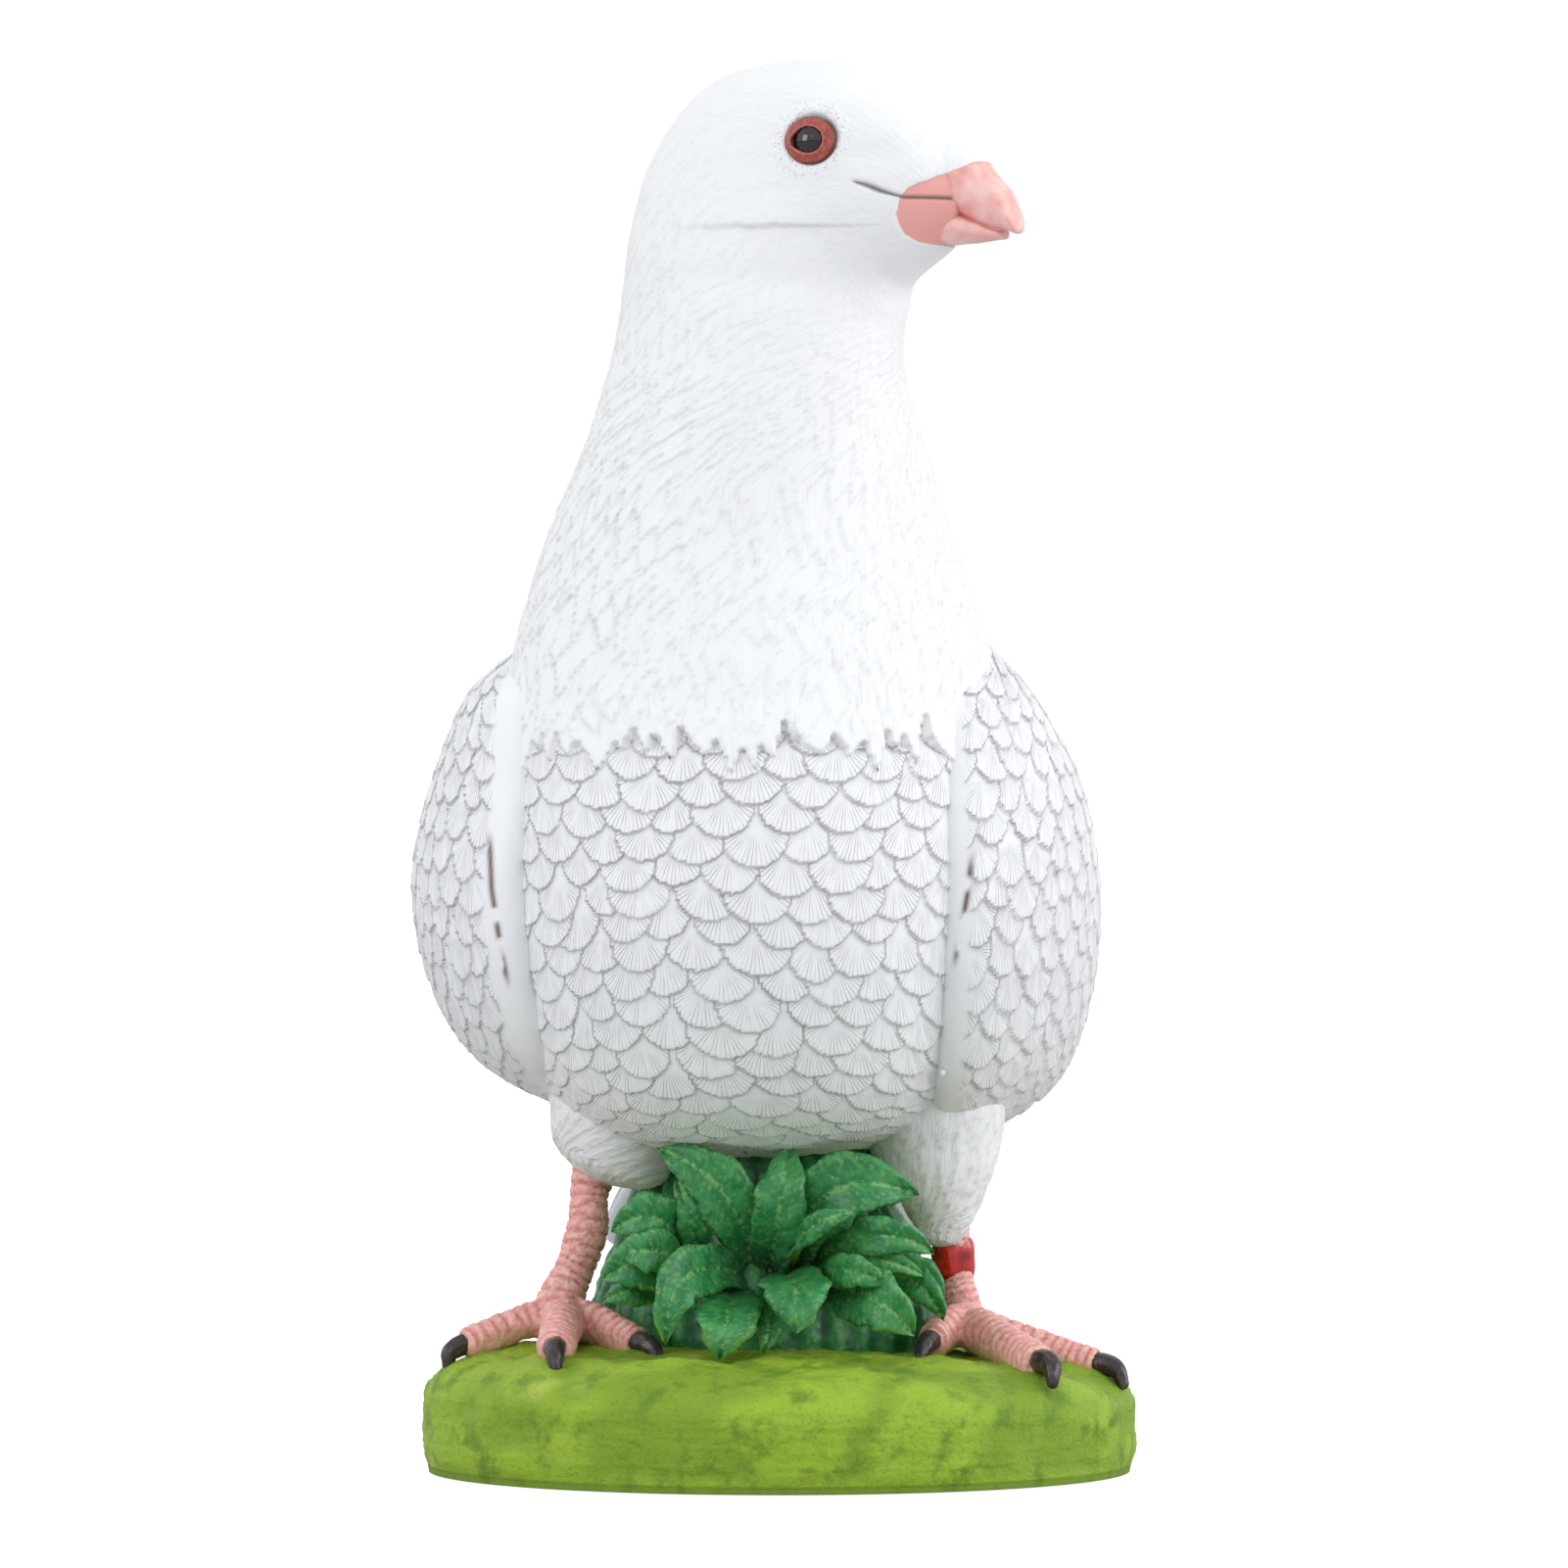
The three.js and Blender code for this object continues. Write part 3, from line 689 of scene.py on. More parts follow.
@dataclass(frozen=True)
class Back:
    """Mantle, rump and undertail, in feathers that lengthen towards the tail."""

    rows: int = 190
    columns: int = 150
    start: float = 11.3
    feather: float = 12.0

    def shell(self) -> Shell:
        """The skin with its feathers, sunk in front where the breast lies over it."""
        s = FORM.even_rows(self.start, len(FORM.rows) - 1.0, self.rows)
        angle = graded((0, 1.6, 2.3, 4.0, 4.7, FULL_TURN), (1.3, 0.6, 1.0, 1.0, 0.6, 1.3), self.columns, closed=True)
        base = FORM.grid(s, angle)
        normal = outward(base)
        around = np.where(angle > math.pi, angle - FULL_TURN, angle)
        across = girth(base, 0)
        across = np.where(around < 0, across - girth(np.concatenate([base, base[:, :1]], 1), 0)[:, -1:], across)
        run = lengthwise(base[:, 0])[:, None] * np.ones_like(across)
        steps = np.cumsum(np.gradient(run[:, 0]) / (6.0 + 7.0 * smooth(40.0, 120.0, run[:, 0])))
        plumes = Feathers(61, Tip.ROUND, depth=1.0, camber=0.15, stray=(0.3, 0.4), fan=14.0, barb=1.3)
        laid = plumes.lay(across / self.feather, np.interp(run, run[:, 0], steps), self.feather, 8.0)
        height = 0.6 * laid.height - 0.3 + 0.05 * Grain(62).at(base, 2.0, 2)
        front = smooth(1.9, 1.6, np.abs(around - np.sign(around) * math.pi))[None, :]
        height -= 4.0 * front * smooth(17.3, 16.7, s)[:, None] + 0.15
        # The first value is painted grey as shade under each feather's edge.
        fields = {"shaded_groove": laid.shaded_groove, "stain_and_mouth_shade": np.zeros_like(height), "vane": laid.vane}
        return Shell.around(base + normal * height[..., None], fields)


@dataclass(frozen=True)
class Wing:
    """A folded wing: small coverts at the shoulder, then long flight feathers to its tip.

    Each row gives the reach and height of the front edge, the reach and height of the back edge, the distance
    out from the trunk's middle, the half thickness, how far the front edge tucks in and the back edge wraps over
    the back, and how much further out and lower the left wing sits than the right one.
    """

    side: Side
    rows_table: tuple = (
        (4, 156.5, -20, 162, 43.5, 2.5, 1, 2, -0.3, 0),
        (22, 149, -42, 152, 46.9, 8, 5, 13, -1.2, 0),
        (31, 132, -56, 136, 50, 13, 8, 23, -0.2, 0),
        (34, 114, -67, 121, 52.3, 14.5, 9, 29, -0.6, 0),
        (32, 96, -77, 108, 52, 14.5, 9.5, 31, -0.2, -0.5),
        (22, 79, -87, 96, 49.3, 13.5, 9.5, 30, 0.3, -2),
        (2, 69.5, -97, 85, 44.3, 12, 8, 27, 0.8, -3),
        (-28, 63, -107, 75.5, 33, 10, 6, 19, 2, -3),
        (-60, 58.5, -117, 67.5, 24, 7.5, 4, 13, 2, -2),
        (-92, 54, -127, 59.5, 17, 5, 2, 9, 1, -1),
        (-122, 49.5, -136, 51.5, 10, 2.4, 0.5, 4, 0, 0),
    )
    rows: int = 262
    columns: int = 160
    covert: float = 8.2
    pitch: float = 6.0
    covert_rows: int = 17

    def grid(self, s: Array, angle: Array) -> Array:
        """Points by row and column, with angle 0 on the front edge and a quarter turn on the outer face."""
        f0, z0, f1, z1, out, half, tuck, wrap, bias, drop = np.moveaxis(along(self.rows_table, s), -1, 0)[..., None]
        cosine, sine = np.cos(angle)[None, :], np.sin(angle)[None, :]
        yaw = TRUNK.yaw * (1.0 - 0.8 * (s[:, None] / (len(self.rows_table) - 1)) ** 2)
        pull = np.where(cosine > 0, tuck, wrap) * cosine**2
        reach = out - self.side.value * bias + half * sine - pull
        forward = (f0 + f1) / 2 + (f0 - f1) / 2 * cosine
        up = (z0 + z1) / 2 + (z0 - z1) / 2 * cosine - self.side.value * drop
        return turned(TRUNK.x, TRUNK.y, yaw, forward, self.side.value * reach, up)

    def shell(self) -> Shell:
        """The skin with coverts down to a row, then longer flight feathers, and a smooth front rim."""
        s = graded((0, 6, 10), (1.25, 0.95, 0.75), self.rows)
        angle = graded((-0.9, -0.3, 3.5, 4.0, FULL_TURN - 0.9), (0.5, 1.3, 1.1, 0.2, 0.2), self.columns, closed=True)
        base = self.grid(s, angle)
        normal = outward(base)
        edge = int(np.argmin(np.abs(angle)))
        outer = int(np.argmin(np.abs(angle - math.pi / 2)))
        across = girth(base, edge)
        down = lengthwise(base[:, outer])[:, None] + 0.8 * Grain(70 + self.side.value).at(base, 24.0)
        coverts = Feathers(72 + self.side.value, Tip.ROUND, depth=1.15, camber=0.16, stray=(0.36, 0.4),
                           fan=7.5, last=self.covert_rows)
        laid = coverts.lay(across / self.covert, down / self.pitch, self.covert, self.pitch)
        start = self.covert_rows * self.pitch
        quills = Feathers(76 + self.side.value, Tip.ROUND, depth=0.55, camber=0.25, stray=(0.15, 0.25), fan=60.0,
                          barb=1.5)
        long = quills.lay(across / 9.5, (down - start) / 24.0 + 0.8, 9.5, 24.0)
        bare = laid.bare
        height = np.where(bare, long.height * 1.1 - 0.6, laid.height * 0.66)
        # Mask for painted shade under the covert and flight feather edges.
        shaded_groove = np.where(bare, np.maximum(long.shaded_groove, 0.8 * laid.shaded_groove), laid.shaded_groove)
        vane = np.where(bare[..., None], long.vane, laid.vane)
        rim = 5.2 if self.side is Side.RIGHT else 1.6
        smooth_rim = smooth(rim - 1.2, rim + 1.6, across)
        face = smooth(-0.25, 0.1, np.sin(angle))[None, :] * smooth_rim
        height = (height - 0.25) * face + 0.04 * Grain(78).at(base, 1.8, 2)
        vane[..., 1] *= smooth_rim
        crease = RIGHT_CREASE if self.side is Side.RIGHT else LEFT_CREASE
        fields = {"shaded_groove": shaded_groove * face, "stain_and_mouth_shade": crease.stain_and_mouth_shade(base), "vane": vane}
        return Shell.around(base + normal * height[..., None], fields)


@dataclass(frozen=True)
class Tail:
    """The fanned tail: twelve long feathers, the middle ones on top.

    Each row gives its reach, height, half width, half thickness and the arch of the fan.
    """

    rows_table: tuple = (
        (-45, 61, 19, 5, 2), (-80, 54, 26.5, 5, 2.5), (-110, 47, 31, 4.2, 3), (-135, 41, 33, 3.2, 3),
        (-146, 38.3, 31.5, 2.4, 2.6), (-152, 36.8, 25, 1.4, 1.8),
    )
    rows: int = 90
    columns: int = 200
    quills: int = 12

    def shell(self) -> Shell:
        """The skin with a step at each feather's outer edge, a raised shaft and slanting barbs."""
        s = graded((0, 3, 5), (0.7, 1.0, 1.6), self.rows)
        angle = graded((0, FULL_TURN), (1, 1), self.columns, closed=True)
        forward, up, half, thick, arch = np.moveaxis(along(self.rows_table, s), -1, 0)[..., None]
        cosine, sine = squared(angle[None, :], 2.6)
        base = Axis(TRUNK.x, TRUNK.y, -1.0).place(
            forward + 2 * sine, half * cosine, up + thick * sine + arch * (0.5 - cosine**2))
        place = np.abs(cosine) * self.quills / 2 + np.zeros_like(up)
        share = place - np.floor(place)
        off = (share - 0.45) * 2 * half / self.quills
        notch = 1.0 - smooth(4.6, 5.0, s)[:, None]
        height = 0.55 * share * notch + 0.3 * bell(off, 0.45) - 0.2
        slope = -forward * 0.9 - 1.1 * np.abs(off)
        vane = np.stack([slope / 1.4, np.full_like(off, 0.8), np.floor(place) * 0.37 % 1.0], axis=-1)
        # Mask for painted shade along each feather's outer step.
        shaded_groove = 0.9 * bell(np.minimum(share, 0.06) / 0.05, 1.0) * (place > 0.6)
        fields = {"shaded_groove": shaded_groove, "stain_and_mouth_shade": np.zeros_like(off), "vane": vane}
        return Shell.around(base + outward(base) * height[..., None], fields)


@dataclass(frozen=True)
class Limb:
    """A round limb along a table of points with half widths and half heights, with rounded ends."""

    points: tuple
    blunt: float = 0.9

    def frame(self, t: Array) -> tuple[Array, Array, Array, Array]:
        """Middle line and its two cross directions: sideways is ahead crossed with up, top is their product.

        Args:
            t: places from 0 to 1.

        Returns:
            The table's row, the sideways direction, the top direction and the direction ahead, at each place.
        """
        last = len(self.points) - 1
        row = along(self.points, t * last)
        ahead = along(self.points, np.minimum(1.0, t + 0.01) * last) - along(self.points, np.maximum(0.0, t - 0.01) * last)
        ahead = ahead[:, :3] / np.linalg.norm(ahead[:, :3], axis=1, keepdims=True)
        side = np.cross(ahead, (0.0, 0.0, 1.0))
        side /= np.linalg.norm(side, axis=1, keepdims=True)
        return row, side, np.cross(side, ahead), ahead

    def length(self) -> float:
        """Length of the straight lines between the points."""
        return float(lengthwise(np.array(self.points)[:, :3])[-1])

    def grid(self, count: int, sides: int) -> tuple[Array, Array]:
        """Points by row and column, and each row's distance along the limb.

        The radius shrinks at each end as the root of 1 - (1 - d)(1 - d), where d is the distance from the end over
        the limb's half width there.
        """
        even = np.linspace(0.0, 1.0, count)
        t = 0.5 * even + 0.25 * (1.0 - np.cos(math.pi * even))
        row, side, top, _ = self.frame(t)
        run = t * self.length()

        def dome(distance: Array, reach: float) -> Array:
            """Shrink at one end."""
            return np.sqrt(np.maximum(0.0016, 1.0 - np.maximum(0.0, 1.0 - distance / reach) ** 2))

        shrink = dome(run, self.blunt * self.points[0][3]) * dome(run[-1] - run, self.blunt * self.points[-1][3])
        angle = np.linspace(0.0, FULL_TURN, sides, endpoint=False)
        wide = (row[:, 3] * shrink)[:, None, None] * np.cos(angle)[None, :, None] * side[:, None]
        tall = (row[:, 4] * shrink)[:, None, None] * np.sin(angle)[None, :, None] * top[:, None]
        return row[:, None, :3] + wide + tall, run

    def shell(self, count: int, sides: int) -> Shell:
        """The plain limb as a closed skin."""
        return Shell.around(self.grid(count, sides)[0])

    def nearest(self, points: Array) -> tuple[Array, Array, Array]:
        """Place of points on the limb: distance over its radius, distance along it and share of the way to its top.

        Args:
            points: places in space.

        Returns:
            The three values, one each for every place.
        """
        t = np.linspace(0.0, 1.0, 70)
        row, _, top, _ = self.frame(t)
        gaps = np.linalg.norm(points[:, None, :] - row[None, :, :3], axis=2) / row[None, :, 3]
        i = np.argmin(gaps, axis=1)
        return gaps[np.arange(len(points)), i], t[i] * self.length(), np.sum((points - row[i, :3]) * top[i], 1)


@dataclass(frozen=True)
class Foot:
    """One side's limbs: feathered thigh, scaled leg, three front toes with claws, and the short hind toe."""

    name: str
    thigh: tuple
    leg: tuple
    toes: tuple
    claws: tuple
    hind: tuple
    scute: float = 2.3

    def thigh_shell(self) -> Shell:
        """The thigh with small tufts that point down its length."""
        base, run = Limb(self.thigh).grid(112, 104)
        normal = outward(base)
        angle = np.linspace(0.0, FULL_TURN, base.shape[1], endpoint=False)
        wander = 0.5 * Grain(81).at(base, 7.0)
        tufts = Feathers(82, Tip.POINTED, depth=1.3, camber=0.3, stray=(0.6, 0.8), period=22, wide=0.75)
        down = run[:, None] + 1.2 * Grain(83).at(base, 8.0)
        laid = tufts.lay(angle * 22 / FULL_TURN + wander, down / 4.4, 3.4, 4.4)
        flow = np.stack([12 * np.cos(angle) + 0 * down, 12 * np.sin(angle) + 0 * down, down], axis=-1)
        height = 0.5 * (laid.height - 0.5) + 0.1 * Grain(84).at(flow, (1.1, 1.1, 6.0), 2)
        height *= smooth(0.0, 3.0, run[-1] - run)[:, None]
        # The first value is painted grey as shade under the tuft edges.
        fields = {"shaded_groove": laid.shaded_groove, "stain_and_mouth_shade": np.zeros_like(height), "flow": flow,
                  "face": np.zeros_like(height), "coarse": np.ones_like(height), "pink": np.full_like(height, -5.0)}
        return Shell.around(base + normal * height[..., None], fields)

    def leg_shell(self) -> Shell:
        """Leg and toes melted together, with rows of scutes across their upper sides.

        A scute is a low arch between two narrow creases: 1 minus a bell of the distance from the nearest crease.
        """
        limbs = [Limb(self.leg), *(Limb(toe) for toe in self.toes), Limb(self.hind)]
        shell, normal = melted([limb.shell(40, 28) for limb in limbs], 0.42, 5)
        looks = [limb.nearest(shell.points) for limb in limbs]
        owner = np.argmin([look[0] for look in looks], axis=0)
        every = np.arange(len(owner))
        run = np.array([look[1] for look in looks])[owner, every]
        over = np.array([look[2] for look in looks])[owner, every]
        on_leg = owner == 0
        wave = run / self.scute + 0.28 * Grain(85).at(shell.points, 2.6, 2) + 0.3 * owner
        gap = np.abs(wave - np.round(wave)) * self.scute
        creases = bell(gap, 0.32)
        cover = np.where(on_leg, 1.0, smooth(-1.2, 0.6, over))
        knobs = 0.16 * Grain(86).at(shell.points, 1.5, 2)
        height = (-0.30 * creases + 0.12 * (1.0 - creases)) * cover + knobs
        shell.points = shell.points + normal * height[:, None]
        # The crease mask is painted a deeper pink as shade.
        shell.fields = {"shaded_groove": creases * cover, "low": smooth(0.5, -2.5, over) * ~on_leg}
        return shell

    def claw_shell(self) -> Shell:
        """The three claws, each a curved horn with fine lengthwise ridges."""
        shells = []
        for points in self.claws:
            base, run = Limb(points).grid(34, 30)
            angle = np.linspace(0.0, FULL_TURN, 30, endpoint=False)
            ridge = 0.07 * np.cos(7 * angle)[None, :] + 0.08 * Grain(87).at(base, 1.4, 2)
            shells.append(Shell.around(base + outward(base) * ridge[..., None], {"run": run[:, None] + 0 * ridge}))
        return joined(shells)


RIGHT_FOOT = Foot(
    "right",
    ((-30, 14, 88, 16, 22), (-31, 5, 72, 13.5, 19), (-32, 0.5, 62, 11.5, 13), (-34, -0.5, 55.5, 7.5, 7)),
    ((-35, 4, 62, 4.6, 5), (-36.8, 2, 54, 3.6, 4.2), (-37.2, 0, 47, 4, 4.3),
     (-39.3, -1.5, 40, 3.5, 3.9), (-42.2, -4, 33, 4.8, 4.6), (-42.4, -6, 27, 6.4, 5.4)),
    (
        ((-43, -5, 30, 4.2, 4.4), (-49, -7, 29.2, 3, 3.4), (-55.5, -9.5, 26.6, 2.8, 3.4), (-61.5, -12, 24.4, 2.7, 3.4)),
        ((-41.5, -6, 30, 4.8, 4.6), (-41.8, -17, 28.4, 4, 4.4), (-42.4, -26, 26.2, 3.8, 4), (-42.7, -32, 24.8, 3.5, 3.6)),
        ((-41, -5, 30, 4.2, 4.4), (-34.8, -11, 28.4, 3.2, 4), (-30, -17, 26.4, 3.1, 3.8), (-26.6, -20.5, 25.2, 3, 3.6)),
    ),
    (
        ((-59.4, -11, 25.6, 2.2, 2.2), (-63.2, -13.4, 23.6, 1.6, 1.9), (-63.9, -14.4, 19.6, 0.8, 1)),
        ((-42.7, -29.6, 25.8, 2.4, 2.2), (-42.7, -35.6, 25, 2, 2.1), (-42.2, -39, 21, 0.9, 1)),
        ((-28.8, -18.6, 26.2, 2.4, 2.2), (-24.6, -23, 25, 1.9, 2.1), (-23.2, -24.6, 21.4, 0.8, 1)),
    ),
    ((-40, 2, 28, 3.4, 3.6), (-35, 9, 26, 2.6, 3), (-31.5, 15, 24, 2, 2.2)),
)
LEFT_FOOT = Foot(
    "left",
    ((27, 14, 88, 17, 22), (29.5, 4, 72, 14.2, 19), (31, -0.5, 60, 11.2, 12), (31.3, -2.5, 50, 6.6, 6.5),
     (30.4, -3.4, 43.4, 2.6, 3)),
    ((33.4, 5, 62, 4.6, 5), (33.8, 2.5, 54, 3.6, 4), (33.9, 0.6, 46, 2.9, 3.6),
     (34.3, 0, 38, 2.9, 3.4), (35.2, -2, 32.6, 3.5, 4), (36.4, -4.5, 26, 5.6, 5)),
    (
        ((36, -3.5, 27.8, 4, 4.6), (47, -5, 24.8, 3, 3.8), (55, -7, 22.2, 2.8, 3.6), (62, -9.5, 20.4, 2.7, 3.4)),
        ((37, -5, 28, 4.6, 4.8), (41.6, -15.6, 25.9, 4, 4.4), (46.4, -25.4, 23.6, 3.8, 4.2), (50, -33, 22.2, 3.6, 3.9)),
        ((36, -4.5, 28.4, 4, 4.6), (32.8, -9.4, 28, 3.4, 4), (30.4, -14, 26.4, 3.1, 3.8), (29.2, -18, 25.4, 3, 3.6)),
    ),
    (
        ((59.4, -8.6, 21.4, 2.3, 2.3), (64.6, -10.8, 20.4, 1.7, 1.9), (66.7, -12, 16.4, 0.8, 1)),
        ((49, -30.6, 23.2, 2.6, 2.4), (51.6, -37.2, 22.6, 2.1, 2.2), (51.9, -40, 18.4, 0.9, 1)),
        ((29.6, -15.8, 26.4, 2.4, 2.3), (27.8, -21.6, 25, 1.8, 2), (26.9, -24, 21, 0.8, 1)),
    ),
    ((36, 2, 27, 3.4, 3.6), (31, 8, 26, 2.6, 3), (28, 13.5, 24, 2, 2.2)),
)


@dataclass(frozen=True)
class LegRing:
    """The red ring on the left leg: a thick soft band, swollen on its inner side."""

    x: float = 33.9
    y: float = 0.5
    low: float = 36.6
    high: float = 45.2
    radius: float = 4.25

    def shell(self) -> Shell:
        """A squared ring section lathed about the leg, with two flats and a lobe."""
        angle = np.linspace(0.0, FULL_TURN, 72, endpoint=False)[None, :]
        roll = np.linspace(0.04, math.pi - 0.04, 40)[:, None]
        cosine, sine = squared(roll - math.pi / 2, np.array(3.6))
        lobe = 1.0 + 0.07 * np.cos(angle - 3.5) + 0.03 * np.cos(3 * angle + 0.6) - 0.045 * bell(angle - 4.95, 0.22)
        radius = self.radius * (0.4 + 0.6 * cosine) * lobe
        half = (self.high - self.low) / 2
        up = (self.high + self.low) / 2 + half * sine * (1.0 + 0.05 * np.cos(angle - 0.4))
        grid = np.stack(np.broadcast_arrays(self.x + radius * np.cos(angle), self.y + 0.95 * radius * np.sin(angle), up), -1)
        grid = grid + outward(grid) * (0.1 * Grain(91).at(grid, 2.6, 2))[..., None]
        return Shell.around(grid)


@dataclass(frozen=True)
class Bill:
    """The upper and lower bill. Each row gives the reach, the height of top and bottom, and the half width."""

    upper: tuple = (
        (26, 256.5, 247, 7.4), (36, 256.6, 244.4, 6.8), (42, 256, 242.4, 6.2), (46, 254.2, 240.8, 5.7),
        (49.4, 250.6, 239.6, 5.1), (52.6, 246.9, 239.2, 4.4), (54.5, 242.8, 238.6, 3.2), (55.2, 240.4, 238.8, 1.4),
    )
    lower: tuple = ((28, 247, 234, 6.8), (37, 245, 236.2, 6.2), (45, 242.4, 237, 5), (51.6, 239.6, 237.6, 2.8))

    def half(self, table: tuple, rows: int, columns: int, seed: int) -> Shell:
        """One half of the bill as a closed skin, with wrinkles at the edge of the paint and a soft dent or two."""
        s = graded((0, len(table) - 1), (0.8, 1.2), rows)
        angle = np.linspace(0.0, FULL_TURN, columns, endpoint=False)
        forward, top, bottom, half = np.moveaxis(along(table, s), -1, 0)[..., None]
        cosine, sine = squared(angle[None, :], np.array(2.2))
        base = HEAD.place(forward, half * cosine, (top + bottom) / 2 + (top - bottom) / 2 * sine)
        pink = PaintEdge().pink(base)
        high = smooth(244.0, 249.0, base[..., 2])
        folds = np.sin(pink * 2.6 + 1.5 * Grain(seed).at(base, 2.5)) * bell(pink - 1.2, 1.5) * high
        height = 0.14 * folds + 0.09 * Grain(seed + 1).at(base, 3.2, 2) + 0.12 * smooth(0.0, 0.5, pink)
        _, right, up = HEAD.local(base)
        cere = bell(forward - 45.0, 3.4) * bell(up - 255.0, 2.6) * bell(np.abs(right) - 2.8, 2.2)
        height = height + 0.55 * cere
        seam = np.abs(up - np.interp(forward, (33.0, 36.0, 42.0, 46.0, 51.0, 54.5), (246.2, 245.1, 243.0, 241.2, 239.0, 238.2)))
        # The seam mask marks the mouth seam, which the paint deepens as painted shade.
        fields = {"pink": pink, "shaded_groove": bell(seam, 0.3) * smooth(34.0, 37.0, forward + 0 * up)}
        return Shell.around(base + outward(base) * height[..., None], fields)

    def shell(self) -> Shell:
        """Both halves, the lower one tucked under the upper one."""
        return joined([self.half(self.upper, 84, 64, 93), self.half(self.lower, 52, 56, 96)])


@dataclass(frozen=True)
class Eye:
    """A glossy bead in its painted lid."""

    side: Side

    def bead_shell(self) -> Shell:
        """The bead: a sphere, cosine and sine of two angles."""
        around = np.linspace(0.0, FULL_TURN, 64, endpoint=False)[None, :]
        rise = np.linspace(0.03, math.pi - 0.03, 40)[:, None]
        forward = EYE.forward + EYE.bead * np.sin(rise) * np.cos(around)
        up = EYE.up + EYE.bead * np.sin(rise) * np.sin(around)
        out = self.side.value * (EYE.inward + EYE.bead * np.cos(rise) + 0 * around)
        return Shell.around(HEAD.place(forward, out, up))

    def lid_shell(self) -> Shell:
        """The lid: a soft ring between its opening and its rim, which slopes back from the bead to the cheek."""
        around = np.linspace(0.0, FULL_TURN, 150, endpoint=False)[:, None]
        roll = np.linspace(0.0, FULL_TURN, 36, endpoint=False)[None, :]
        inner, outer = EYE.opening(around), EYE.rim(around)
        cosine, sine = squared(roll, np.array(2.5))
        radius = (inner + outer) / 2 + (outer - inner) / 2 * cosine
        share = (1.0 + cosine) / 2
        ridges = 0.07 * np.sin(11 * around + 5 * share) * (sine > 0) + 0.16 * bell(share - 0.14, 0.13) * (sine > 0)
        out = 19.05 - 1.15 * share**1.3 + np.where(sine > 0, 0.5, 0.8) * sine + ridges
        grid = HEAD.place(EYE.forward + radius * np.cos(around), self.side.value * out, EYE.up + radius * np.sin(around))
        flat = np.arange(grid.shape[0] * grid.shape[1]).reshape(grid.shape[:2])
        ahead, beside = np.roll(flat, -1, axis=0), np.roll(flat, -1, axis=1)
        quads = np.stack([flat, ahead, np.roll(ahead, -1, axis=1), beside], axis=-1).reshape(-1, 4)
        shell = Shell(grid.reshape(-1, 3), quads, np.empty((0, 3), int), {"share": (share + 0 * around).reshape(-1)})
        if shell.volume() < 0:
            shell.quads = quads[:, ::-1]
        return shell


@dataclass(frozen=True)
class Mound:
    """The oval mound of moss: a bulging side that rolls over into a low dome."""

    half_width: float = 69.0
    half_depth: float = 66.0
    edge: float = 13.0
    crown: float = 24.5
    slant: float = 1.2
    rows: int = 190
    columns: int = 224
    ridge: tuple = (-18.0, -41.0, 8.0)
    hollow: tuple = (-17.0, -33.0)

    def shell(self) -> Shell:
        """The skin with lumps, moss and the dents and swells round the toes.

        The side is nearly upright up to the edge height. Above it the ring's scale falls to 0 as 1 - v to the power
        1.9, and the height rises as the root of 1 - scale to the eighth, times 1 - 0.2 scale.
        """
        v = np.linspace(0.0, 1.0, self.rows)[:, None]
        wall = smooth(0.0, 1.0, v / 0.26) * 0 + np.clip(v / 0.26, 0.0, 1.0)
        over = np.clip((v - 0.26) / 0.74, 0.0, 0.992)
        side_scale = np.interp(wall, (0.0, 0.38, 1.0), (0.985, 0.998, 1.0))
        scale = side_scale * (1.0 - over**1.9)
        rise = np.sqrt(np.maximum(0.0, 1.0 - (1.0 - over**1.9) ** 8)) * (1.0 - 0.2 * (1.0 - over**1.9))
        angle = graded((0, 3.3, 6.1, FULL_TURN), (0.8, 1.2, 1.2, 0.8), self.columns, closed=True)[None, :]
        up = self.edge * wall + (self.crown - self.edge) * rise - self.slant * wall * scale * np.cos(angle)
        base = np.stack(np.broadcast_arrays(
            self.half_width * scale * np.cos(angle), self.half_depth * scale * np.sin(angle), up), -1)
        normal = outward(base)
        fade = smooth(0.8, 4.0, up)
        lumps = 0.9 * Grain(101).at(base, 15.0, 2) + 0.4 * Grain(102).at(base, 5.0)
        moss = 0.32 * np.abs(Grain(103).at(base, 2.6, 3)) + 0.12 * Grain(104).at(base, 0.9, 2)
        height = (lumps + moss) * fade + self.bedding(base)
        wet = smooth(0.1, 0.8, Grain(105).at(base, 9.0, 2))
        # The shade value marks the low lumps, which the paint darkens as painted shade.
        fields = {"low": smooth(1.7, 1.0, up), "wet": wet, "shade": smooth(0.25, -0.3, lumps) * fade}
        return Shell.around(base + normal * height[..., None], fields)

    def bedding(self, base: Array) -> Array:
        """Moss raised about the toes, a low ridge in front with a hollow behind it."""
        x, y = base[..., 0], base[..., 1]
        rise = np.zeros_like(x)
        for toe in RIGHT_FOOT.toes + LEFT_FOOT.toes:
            path = along(toe, np.linspace(0.6, 3.0, 12))
            gap = np.min(np.hypot(x[..., None] - path[:, 0], y[..., None] - path[:, 1]), axis=-1)
            rise = np.maximum(rise, bell(gap, 5.0))
        across, ahead, wide = self.ridge
        ridge = bell(x - across, wide) * bell(y - ahead, 2.4)
        pit = bell(x - self.hollow[0], 7.0) * bell(y - self.hollow[1], 5.0)
        return (1.1 * rise + 1.3 * ridge - 2.4 * pit) * smooth(8.0, 18.0, base[..., 2])


